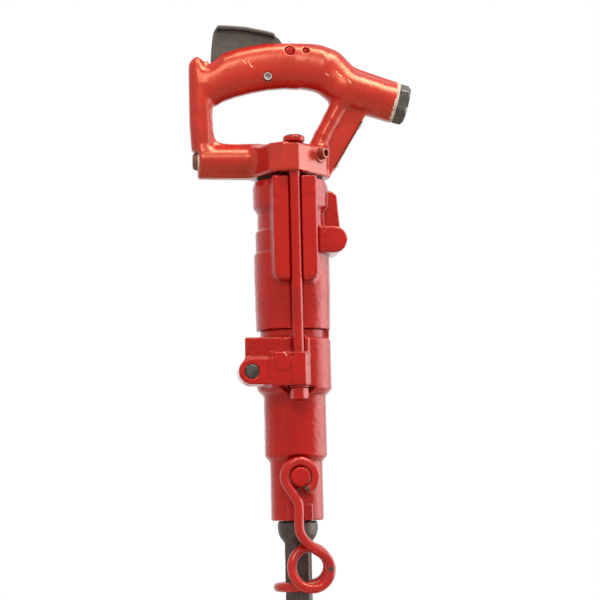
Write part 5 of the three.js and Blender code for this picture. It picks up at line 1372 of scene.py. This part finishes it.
def dress(piece, node, finish=None, stands_for=True):
    """Piece rides the node's body, in a given finish or that of the node's slot, and may stand for it."""
    piece.data.materials.clear()
    piece.data.materials.append(finish_for(finish or SLOTS[node]))
    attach(piece, frame["nodes"][node]["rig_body"])
    if stands_for:
        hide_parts(node)


# Operators: one for each piece or group of like pieces


class DRILL_OT_backhead(bpy.types.Operator):
    """Backhead casting: a distance field in which the grip and legs are rounded sections that follow
    tables, joined with fillets to web, bar, strut, rib, base and boss, less the lever slot and bores"""

    bl_idname = "drill.backhead"
    bl_label = "Backhead casting"
    bl_options = {"REGISTER", "UNDO"}

    def execute(self, context):
        sizes = millimetres(context.scene.drill_sizes)
        piece = casting("backhead_casting", backhead, sizes, "backhead_handle", sizes.casting_step,
                        lambda points: sizes.sand_depth * HANDLE_SAND)
        dress(piece, "backhead_handle")
        return {"FINISHED"}


class DRILL_OT_cylinder(bpy.types.Operator):
    """Cylinder casting: distance from the axis less a stepped radius, joined with fillets to two rod
    pads, the exhaust boss and its ridge, less the grooves and bores"""

    bl_idname = "drill.cylinder"
    bl_label = "Cylinder casting"
    bl_options = {"REGISTER", "UNDO"}

    def execute(self, context):
        sizes = millimetres(context.scene.drill_sizes)
        piece = casting("cylinder_casting", cylinder, sizes, "cylinder", sizes.casting_step,
                        lambda points: sizes.sand_depth * CYLINDER_SAND)
        dress(piece, "cylinder", "cylinder_paint")
        return {"FINISHED"}


class DRILL_OT_front_head(bpy.types.Operator):
    """Front head casting: distance from the axis less a stepped radius, joined with fillets to block,
    boss and ear, less round pockets that hold the trunnions; waves are deepest below the flare"""

    bl_idname = "drill.front_head"
    bl_label = "Front head casting"
    bl_options = {"REGISTER", "UNDO"}

    def execute(self, context):
        sizes = millimetres(context.scene.drill_sizes)

        def rough_middle(points):
            low = np.clip((points[:, 2] - SHOULDER_FOOT) / 12, 0, 1)
            high = np.clip((FLANGE_FOOT - 2 - points[:, 2]) / 10, 0, 1)
            return sizes.sand_depth * (HEAD_SAND + HEAD_SAND_MIDDLE * low * high)

        piece = casting("front_head_casting", front_head, sizes, "front_head", sizes.casting_step * 0.9,
                        rough_middle)
        dress(piece, "front_head", "head_paint")
        return {"FINISHED"}


class DRILL_OT_lever(bpy.types.Operator):
    """Throttle lever: a web, thin top rim, hub and arm with small fillets, as one distance field"""

    bl_idname = "drill.lever"
    bl_label = "Throttle lever"
    bl_options = {"REGISTER", "UNDO"}

    def execute(self, context):
        sizes = millimetres(context.scene.drill_sizes)
        piece = casting("lever_forging", lever, sizes, "throttle_lever", sizes.casting_step * 0.55,
                        lambda points: sizes.sand_depth * LEVER_SAND)
        dress(piece, "throttle_lever", "lever")
        return {"FINISHED"}


class DRILL_OT_steel(bpy.types.Operator):
    """Drill steel: three pairs of flats in common with a circle, joined to a collar and a bit whose
    radii follow tables, less the insert slot and the flushing hole; forging waves outside the chuck"""

    bl_idname = "drill.steel"
    bl_label = "Drill steel"
    bl_options = {"REGISTER", "UNDO"}

    def execute(self, context):
        sizes = millimetres(context.scene.drill_sizes)
        piece = casting("forged_bar", drill_steel, sizes, "drill_steel", sizes.casting_step * 0.95,
                        lambda points: sizes.sand_depth * np.where(points[:, 2] < 2, STEEL_SAND, 0.0))
        dress(piece, "drill_steel")
        return {"FINISHED"}


def smooth(share):
    """Share limited to 0 to 1 and eased at both ends."""
    share = np.clip(share, 0, 1)
    return share ** 2 * (3 - 2 * share)


def retainer_half():
    """Points on the front half of the retainer: the ring, the arm, a coil whose turns ease inwards, and
    half of the U-bend. Returns them and how many of them are on the bend."""
    turn = np.radians(np.linspace(*RING_ARC, 17))
    ring = np.stack([WIRE_RING_RADIUS * np.cos(turn), np.full(len(turn), -WIRE_REACH),
                     TRUNNION_HEIGHT + WIRE_RING_RADIUS * np.sin(turn)], 1)
    arm = np.array([[a * WIRE_RING_RADIUS, -WIRE_REACH, TRUNNION_HEIGHT + b * WIRE_RING_RADIUS]
                    for a, b in ARM_SHARES])
    angle = np.linspace(*COIL_ARC, 35)
    ease_start, ease_end = COIL_EASE_ARC
    ease = smooth((angle - ease_start) / (ease_end - ease_start))
    along = np.radians(angle)
    coil = np.stack([
        COIL_ACROSS + INNER_COIL_SHIFT[0] * ease + COIL_RADIUS * np.cos(along),
        -WIRE_REACH + (WIRE_REACH - WIRE_INNER_REACH) * ease,
        -COIL_DROP + INNER_COIL_SHIFT[1] * ease + COIL_RADIUS * np.sin(along)], 1)
    bend = np.radians(np.linspace(*BEND_ARC, 6))
    foot = np.stack([-WIRE_INNER_REACH * np.sin(bend), -WIRE_INNER_REACH * np.cos(bend),
                     np.full(len(bend), -LEG_DROP)], 1)
    return np.vstack([ring, arm, coil, foot]), len(foot)


def retainer_path():
    """Middle line of the retainer: its front half, the same mirrored behind with its coil shifted
    across, and a smooth curve through them all, spaced evenly and evened out."""
    half, on_bend = retainer_half()
    below_ring = TRUNNION_HEIGHT - half[:, 2] - WIRE_RING_RADIUS
    shift = smooth(below_ring / (REAR_SHIFT_DROP - WIRE_RING_RADIUS)) * REAR_SHIFT
    shift[-on_bend:] = 0
    rear = half * [1, -1, 1] + shift[:, None] * [1, 0, 0]
    line = curve_through(np.vstack([half, (-WIRE_INNER_REACH, 0, -LEG_DROP), rear[::-1]]),
                         WIRE_CURVE_POINTS)
    travelled = np.append(0, np.cumsum(np.linalg.norm(np.diff(line, axis=0), axis=1)))
    even = np.linspace(0, travelled[-1], WIRE_POINTS)
    line = np.stack([np.interp(even, travelled, line[:, k]) for k in range(3)], 1)
    for _ in range(3):
        line[1:-1] = line[1:-1] * 0.5 + (line[2:] + line[:-2]) * 0.25
    return line


class DRILL_OT_retainer(bpy.types.Operator):
    """Steel retainer: a circle carried without twist along a curve of ring, arm, coil and U-bend"""

    bl_idname = "drill.retainer"
    bl_label = "Wire retainer"
    bl_options = {"REGISTER", "UNDO"}

    def execute(self, context):
        dress(tube("retainer_wire", retainer_path(), WIRE_RADIUS), "steel_retainer")
        return {"FINISHED"}


def corner_radius(flats):
    """Distance from a hexagon's middle to its corners."""
    return flats / 2 / math.cos(math.pi / 6)


class DRILL_OT_rods(bpy.types.Operator):
    """Side rods, washers and nuts: eased profiles turned round each rod's line, the nuts' limited by
    a hexagon with rounded corners"""

    bl_idname = "drill.rods"
    bl_label = "Side rods and nuts"
    bl_options = {"REGISTER", "UNDO"}

    def execute(self, context):
        for place, side in (("front", -1), ("rear", 1)):
            start = (0, side * ROD_REACH, 0)
            upwards = (0, 0, 1)
            head = BASE_TOP + PLAY
            top = head + ROD_HEAD_HEIGHT
            foot = span(f"side_rod_{place}")[0][2]
            profile = eased([(ROD_RADIUS - 1.2, foot), (ROD_RADIUS, foot + 1.2), (ROD_RADIUS, head),
                             (ROD_HEAD_RADIUS - 0.5, head), (ROD_HEAD_RADIUS, head + 0.8),
                             (ROD_HEAD_RADIUS, top - 2.2), (ROD_HEAD_RADIUS - 2.2, top - 0.4),
                             (1.0, top)], 1.2, 5)
            dress(turned(f"domed_rod_{place}", profile, start, upwards, 56), f"side_rod_{place}")
            low, high = (edge[2] for edge in span(f"side_rod_washer_{place}"))
            washer = eased([(ROD_RADIUS + PLAY, low), (ROD_RADIUS + PLAY, high), (WASHER_RADIUS, high),
                            (WASHER_RADIUS, low)], 0.3, 3, True)
            dress(turned(f"flat_washer_{place}", washer[::-1], start, upwards, ring=True),
                  f"side_rod_washer_{place}")
            low, high = (edge[2] for edge in span(f"side_rod_nut_{place}"))
            corner = corner_radius(NUT_FLATS)
            nut = eased([(ROD_RADIUS + 0.2, low), (ROD_RADIUS + 0.2, high), (corner - 1.6, high),
                         (corner, high - 1.0), (corner, low + 1.0), (corner - 1.6, low)], 0.3, 3, True)
            dress(turned(f"hexagon_nut_{place}", nut[::-1], start, upwards, 120, NUT_FLATS, NUT_TURN,
                         True), f"side_rod_nut_{place}")
        return {"FINISHED"}


class DRILL_OT_pins(bpy.types.Operator):
    """Pivot, rest, stop and lock pins: eased profiles turned round lines along Y"""

    bl_idname = "drill.pins"
    bl_label = "Pins"
    bl_options = {"REGISTER", "UNDO"}

    def execute(self, context):
        backwards = (0, 1, 0)
        half = CROSS_PIN_HALF
        for node, place, radius in (("lever_pivot_pin", PIVOT, PIVOT_RADIUS),
                                    ("lever_rest_pin", REST_PIN, REST_PIN_RADIUS)):
            profile = eased([(radius * 0.5, -half), (radius - 0.5, -half), (radius, 0.5 - half),
                             (radius, half - 0.5), (radius - 0.5, half), (radius * 0.5, half)], 0.3, 3)
            dress(turned(node + "_turned", profile, (place[0], 0, place[1]), backwards), node)
        half = STOP_PIN_HALF
        sleeve = eased([(STOP_PIN_BORE, -half), (STOP_PIN_RADIUS, -half), (STOP_PIN_RADIUS, half),
                        (STOP_PIN_BORE, half)], 0.35, 4, True)
        dress(turned("stop_sleeve", sleeve, (STOP_PIN[0], 0, STOP_PIN[1]), backwards, ring=True),
              "lever_stop_pin")
        front, rear = (edge[1] for edge in span("lock_pin"))
        front -= LOCK_PIN_PROUD
        lock = eased([(LOCK_PIN_RADIUS * 0.4, front), (LOCK_PIN_RADIUS - 0.8, front),
                      (LOCK_PIN_RADIUS, front + 0.8), (LOCK_PIN_RADIUS, rear - 0.5),
                      (LOCK_PIN_RADIUS - 0.5, rear), (LOCK_PIN_RADIUS * 0.4, rear)], 0.5, 4)
        dress(turned("lock_pin_turned", lock, (EAR_ACROSS, 0, EAR_HEIGHT), backwards), "lock_pin")
        return {"FINISHED"}


def ragged_ring(name, start, way, inner, outer, low, high, seed):
    """Bead of sealant: a ring whose outer radius and height are made uneven by waves round it."""
    ring = turned(name, eased([(inner, low), (outer, low), (outer, high), (inner, high)],
                              (high - low) * 0.5, 4, True), start, way, 180, ring=True, sharp=None)
    points = np.empty(3 * len(ring.data.vertices))
    ring.data.vertices.foreach_get("co", points)
    points = points.reshape(-1, 3) / MM
    middle = np.asarray(start, float) + [0, 0, MOUTH / MM]
    line = np.asarray(way, float) / np.linalg.norm(way)
    off = points - middle
    off -= (off @ line)[:, None] * line
    reach = np.linalg.norm(off, axis=1)
    share = np.clip((reach - inner) / (outer - inner), 0, 1)
    move = share * sum(ripple(points, length, seed + k) * depth
                       for k, (length, depth) in enumerate(SEALANT_WAVES))
    points += off / reach[:, None] * move[:, None]
    ring.data.vertices.foreach_set("co", (points * MM).ravel())
    ring.data.update()
    return ring


def socket_plug(name):
    """Oil plug with a hexagon socket: rings round its line, each at a radius and a distance along it,
    and those of the socket that much further out than a hexagon."""
    foot, out = oil_plug_line()
    radius, length = OIL_PLUG_RADIUS, OIL_PLUG_LENGTH
    start = foot + out * (length - OIL_PLUG_PROUD)
    count = 120
    angle = np.arange(count) * 2 * math.pi / count
    hexagon = hexagon_radius(angle, OIL_PLUG_SOCKET, 60)
    rings = [(0.2, -length + 2.4, 0), (radius - 0.4, -length + 2.4, 0), (radius, -length + 2.9, 0),
             (radius, 0.1, 0), (radius - 0.25, 0.45, 0), (radius - 0.8, OIL_PLUG_PROUD, 0),
             (0.35, OIL_PLUG_PROUD, 1), (0.0, 0.4, 1), (0.0, -3.2, 1)]
    u = np.cross([0, 0, 1.0], out)
    v = np.cross(out, u)
    around = np.cos(angle)[:, None] * u + np.sin(angle)[:, None] * v
    points = np.vstack([start + along * out + (hexagon * hexed + reach)[:, None] * around
                        for reach, along, hexed in rings])
    return mesh_object(name, *capped(points, grid_faces(len(rings), count), count, None), sharp_degrees=35)


class DRILL_OT_plugs(bpy.types.Operator):
    """Oil plug and reservoir plug: turned profiles, one with a hexagon socket; sealant as a ring whose
    outer radius is uneven by sine waves"""

    bl_idname = "drill.plugs"
    bl_label = "Plugs"
    bl_options = {"REGISTER", "UNDO"}

    def execute(self, context):
        dress(socket_plug("oil_plug_turned"), "oil_plug", "bronze_plug")
        low, high = span("reservoir_plug")
        height = SEAT + LOWER_BAR_RISE
        left, right = low[0], high[0]
        rightwards = (1, 0, 0)
        neck_radius = RESERVOIR_NECK_RADIUS
        head_radius = (high[2] - low[2]) / 2
        profile = eased([(1.0, left + 0.3), (head_radius * 0.45, left), (head_radius - 1.6, left),
                         (head_radius, left + 1.6), (head_radius, left + 5.2), (neck_radius, left + 5.4),
                         (neck_radius, right - 1), (neck_radius - 1.5, right)], 0.6, 4)
        dress(turned("reservoir_plug_turned", profile, (0, 0, height), rightwards, 64), "reservoir_plug")
        bead = ragged_ring("reservoir_sealant", (left + 4.0, 0, height), rightwards, neck_radius + 0.4,
                           head_radius + SEALANT_PROUD, 0, 2.2, 11)
        dress(bead, "reservoir_plug", "sealant", False)
        return {"FINISHED"}


class DRILL_OT_inlet(bpy.types.Operator):
    """Inlet bushing: an eased profile turned round the inlet axis and limited by a hexagon, with a
    ragged bead of sealant behind it"""

    bl_idname = "drill.inlet"
    bl_label = "Inlet bushing"
    bl_options = {"REGISTER", "UNDO"}

    def execute(self, context):
        out = on_inlet(-1) - on_inlet(0)
        corner = corner_radius(BUSHING_FLATS)
        bore, thread = BUSHING_BORE_RADIUS, INLET_BORE_RADIUS - PLAY
        face, inner_end = BUSHING_THICKNESS + PLAY, -BUSHING_INSERTION
        profile = eased([(bore, face - 1.2), (bore, inner_end), (thread - 1, inner_end),
                         (thread, inner_end + 1), (thread, 0.4), (corner - 1.2, 0.4), (corner, 1.3),
                         (corner, face - 2.2), (corner - 3.2, face), (bore + 1.2, face)], 0.35, 3, True)
        piece = turned("inlet_bushing_turned", profile[::-1], on_inlet(0), out, 180, BUSHING_FLATS,
                       math.radians(30), True)
        dress(piece, "inlet_bushing", "bushing")
        bead = ragged_ring("inlet_sealant", on_inlet(0), out, INLET_RADIUS - 1.5, INLET_RADIUS + 0.35,
                           -3.2, 0.25, 21)
        dress(bead, "inlet_bushing", "sealant", False)
        return {"FINISHED"}


class DRILL_OT_screws(bpy.types.Operator):
    """Drive screws of the data plate: domed heads turned round the rib's normal"""

    bl_idname = "drill.screws"
    bl_label = "Drive screws"
    bl_options = {"REGISTER", "UNDO"}

    def execute(self, context):
        high, low = on_handle(RIB_EDGE_SHARES)
        along = np.array([high[0] - low[0], 0, high[1] - low[1]])
        along /= np.linalg.norm(along)
        out = np.array([along[2], 0, -along[0]])
        profile = eased(SCREW_PROFILE, 0.3, 4)
        for node in ("drive_screw_upper", "drive_screw_lower"):
            near, far = span(node)
            dress(turned(node + "_domed", profile, (near + far) / 2, out, 32), node)
        return {"FINISHED"}


class DRILL_OT_packed(bpy.types.Operator):
    """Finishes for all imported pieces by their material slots; gasket, plate and inner pieces show them"""

    bl_idname = "drill.packed"
    bl_label = "Gasket, plate and inner pieces"
    bl_options = {"REGISTER", "UNDO"}

    def execute(self, context):
        for name, node in frame["nodes"].items():
            node.data.materials.clear()
            node.data.materials.append(finish_for(SLOTS[name]))
        return {"FINISHED"}


# Stage


def make_floor(scene):
    """Square floor just under the object."""
    low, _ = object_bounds()
    half = FLOOR_HALF
    mesh = bpy.data.meshes.new("floor")
    mesh.from_pydata([(-half, -half, 0), (half, -half, 0), (half, half, 0), (-half, half, 0)], [],
                     [(0, 1, 2, 3)])
    floor = bpy.data.objects.new("floor", mesh)
    floor.location.z = low.z - FLOOR_GAP
    scene.collection.objects.link(floor)
    floor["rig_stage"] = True
    floor.data.materials.append(floor_finish())


def floor_finish():
    """Pale floor with a slight mottle, fading out with distance from the object."""
    f = Finish("pale_floor")
    shade = f.mix(rgb(FLOOR_PALE), rgb(FLOOR_MOTTLE), f.noise(60, 3))
    from_middle = (f.x ** 2 + f.y ** 2) ** 0.5
    return f.close(shade, 0.85, 0.0, f.noise(4, 3), 0.05, Specular_IOR_Level=0.1,
                   Alpha=f.step(from_middle, *FLOOR_FADE[::-1]))


def make_lamp(scene, name, place, size, watts, colour):
    """Rectangular lamp that points at the model's origin."""
    light = bpy.data.lights.new(name, "AREA")
    light.shape = "RECTANGLE"
    light.size, light.size_y = size
    light.energy = watts
    light.color = colour
    lamp = bpy.data.objects.new(name, light)
    lamp.location = place
    lamp.visible_glossy = name not in LAMPS_UNSEEN
    lamp.visible_diffuse = name not in LAMPS_MIRRORED
    lamp.rotation_euler = (lamp.location * -1).to_track_quat("-Z", "Y").to_euler()
    scene.collection.objects.link(lamp)
    lamp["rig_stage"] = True


def make_camera(scene):
    """Camera at the photograph's angle, aimed so that the mouth falls low in the picture."""
    turn, rise, roll = CAMERA_TURN, CAMERA_RISE, CAMERA_ROLL
    forward = np.array([-math.sin(turn) * math.cos(rise), math.cos(turn) * math.cos(rise), math.sin(rise)])
    level = np.array([math.cos(turn), math.sin(turn), 0.0])
    upright = np.cross(level, forward)
    right = level * math.cos(roll) + upright * math.sin(roll)
    up = upright * math.cos(roll) - level * math.sin(roll)
    ray = forward + right * AIM_RIGHT + up * AIM_UP
    place = -ray / np.linalg.norm(ray) * CAMERA_DISTANCE + [0, 0, MOUTH]
    data = bpy.data.cameras.new("camera")
    data.lens = CAMERA_LENS
    data.sensor_width = CAMERA_SENSOR
    data.clip_start, data.clip_end = 0.1, 50.0
    camera = bpy.data.objects.new("camera", data)
    axes = np.eye(4)
    axes[:3] = np.stack([right, up, -forward, place], 1)
    camera.matrix_world = Matrix(axes.tolist())
    scene.collection.objects.link(camera)
    scene.camera = camera


def white_world():
    """World that is white to the camera, in reflections and through glass, and dimmer as light."""
    world = bpy.data.worlds.new("studio")
    world.use_nodes = True
    tree = world.node_tree
    tree.nodes.clear()
    path = tree.nodes.new("ShaderNodeLightPath")
    camera, glossy, through = (Value(tree, path.outputs[f"Is {kind} Ray"])
                               for kind in ("Camera", "Glossy", "Transmission"))
    strength = camera.most(glossy).most(through) * (1 - WORLD_LIGHT) + WORLD_LIGHT
    background = tree.nodes.new("ShaderNodeBackground")
    tree.links.new(strength.output, background.inputs["Strength"])
    background.inputs["Color"].default_value = (1, 1, 1, 1)
    output = tree.nodes.new("ShaderNodeOutputWorld")
    tree.links.new(background.outputs[0], output.inputs["Surface"])
    return world


class DRILL_OT_stage(bpy.types.Operator):
    """Pale floor, soft lamps, a white world and the camera"""

    bl_idname = "drill.stage"
    bl_label = "Stage"
    bl_options = {"REGISTER", "UNDO"}

    def execute(self, context):
        scene = context.scene
        scene.view_settings.view_transform = "Standard"
        make_floor(scene)
        scene.world = white_world()
        for lamp in LAMPS:
            make_lamp(scene, *lamp)
        make_camera(scene)
        return {"FINISHED"}


STEPS = (
    DRILL_OT_backhead, DRILL_OT_cylinder, DRILL_OT_front_head, DRILL_OT_lever, DRILL_OT_steel,
    DRILL_OT_retainer, DRILL_OT_rods, DRILL_OT_pins, DRILL_OT_plugs, DRILL_OT_inlet, DRILL_OT_screws,
    DRILL_OT_packed, DRILL_OT_stage,
)


class DRILL_PT_panel(bpy.types.Panel):
    """Sizes, colours and steps of the rock drill"""

    bl_idname = "DRILL_PT_panel"
    bl_label = "Rock Drill"
    bl_space_type = "VIEW_3D"
    bl_region_type = "UI"
    bl_category = "Rock Drill"

    def draw(self, context):
        """Lists the sizes, the colours and the steps."""
        column = self.layout.column(align=True)
        for group in (context.scene.drill_sizes, context.scene.drill_colours):
            for key in group.__annotations__:
                column.prop(group, key)
        for step in STEPS:
            self.layout.operator(step.bl_idname)


CLASSES = (DrillSizes, DrillColours, *STEPS, DRILL_PT_panel)


def register():
    """Registers the classes and puts the sizes and colours on the scene."""
    for entry in CLASSES:
        bpy.utils.register_class(entry)
    bpy.types.Scene.drill_sizes = PointerProperty(type=DrillSizes)
    bpy.types.Scene.drill_colours = PointerProperty(type=DrillColours)


def unregister():
    """Takes away what register() added."""
    del bpy.types.Scene.drill_colours
    del bpy.types.Scene.drill_sizes
    for entry in reversed(CLASSES):
        bpy.utils.unregister_class(entry)


def main():
    """Builds every piece in order."""
    register()
    for step in STEPS:
        group, action = step.bl_idname.split(".")
        getattr(getattr(bpy.ops, group), action)()


if __name__ == "__main__":
    main()
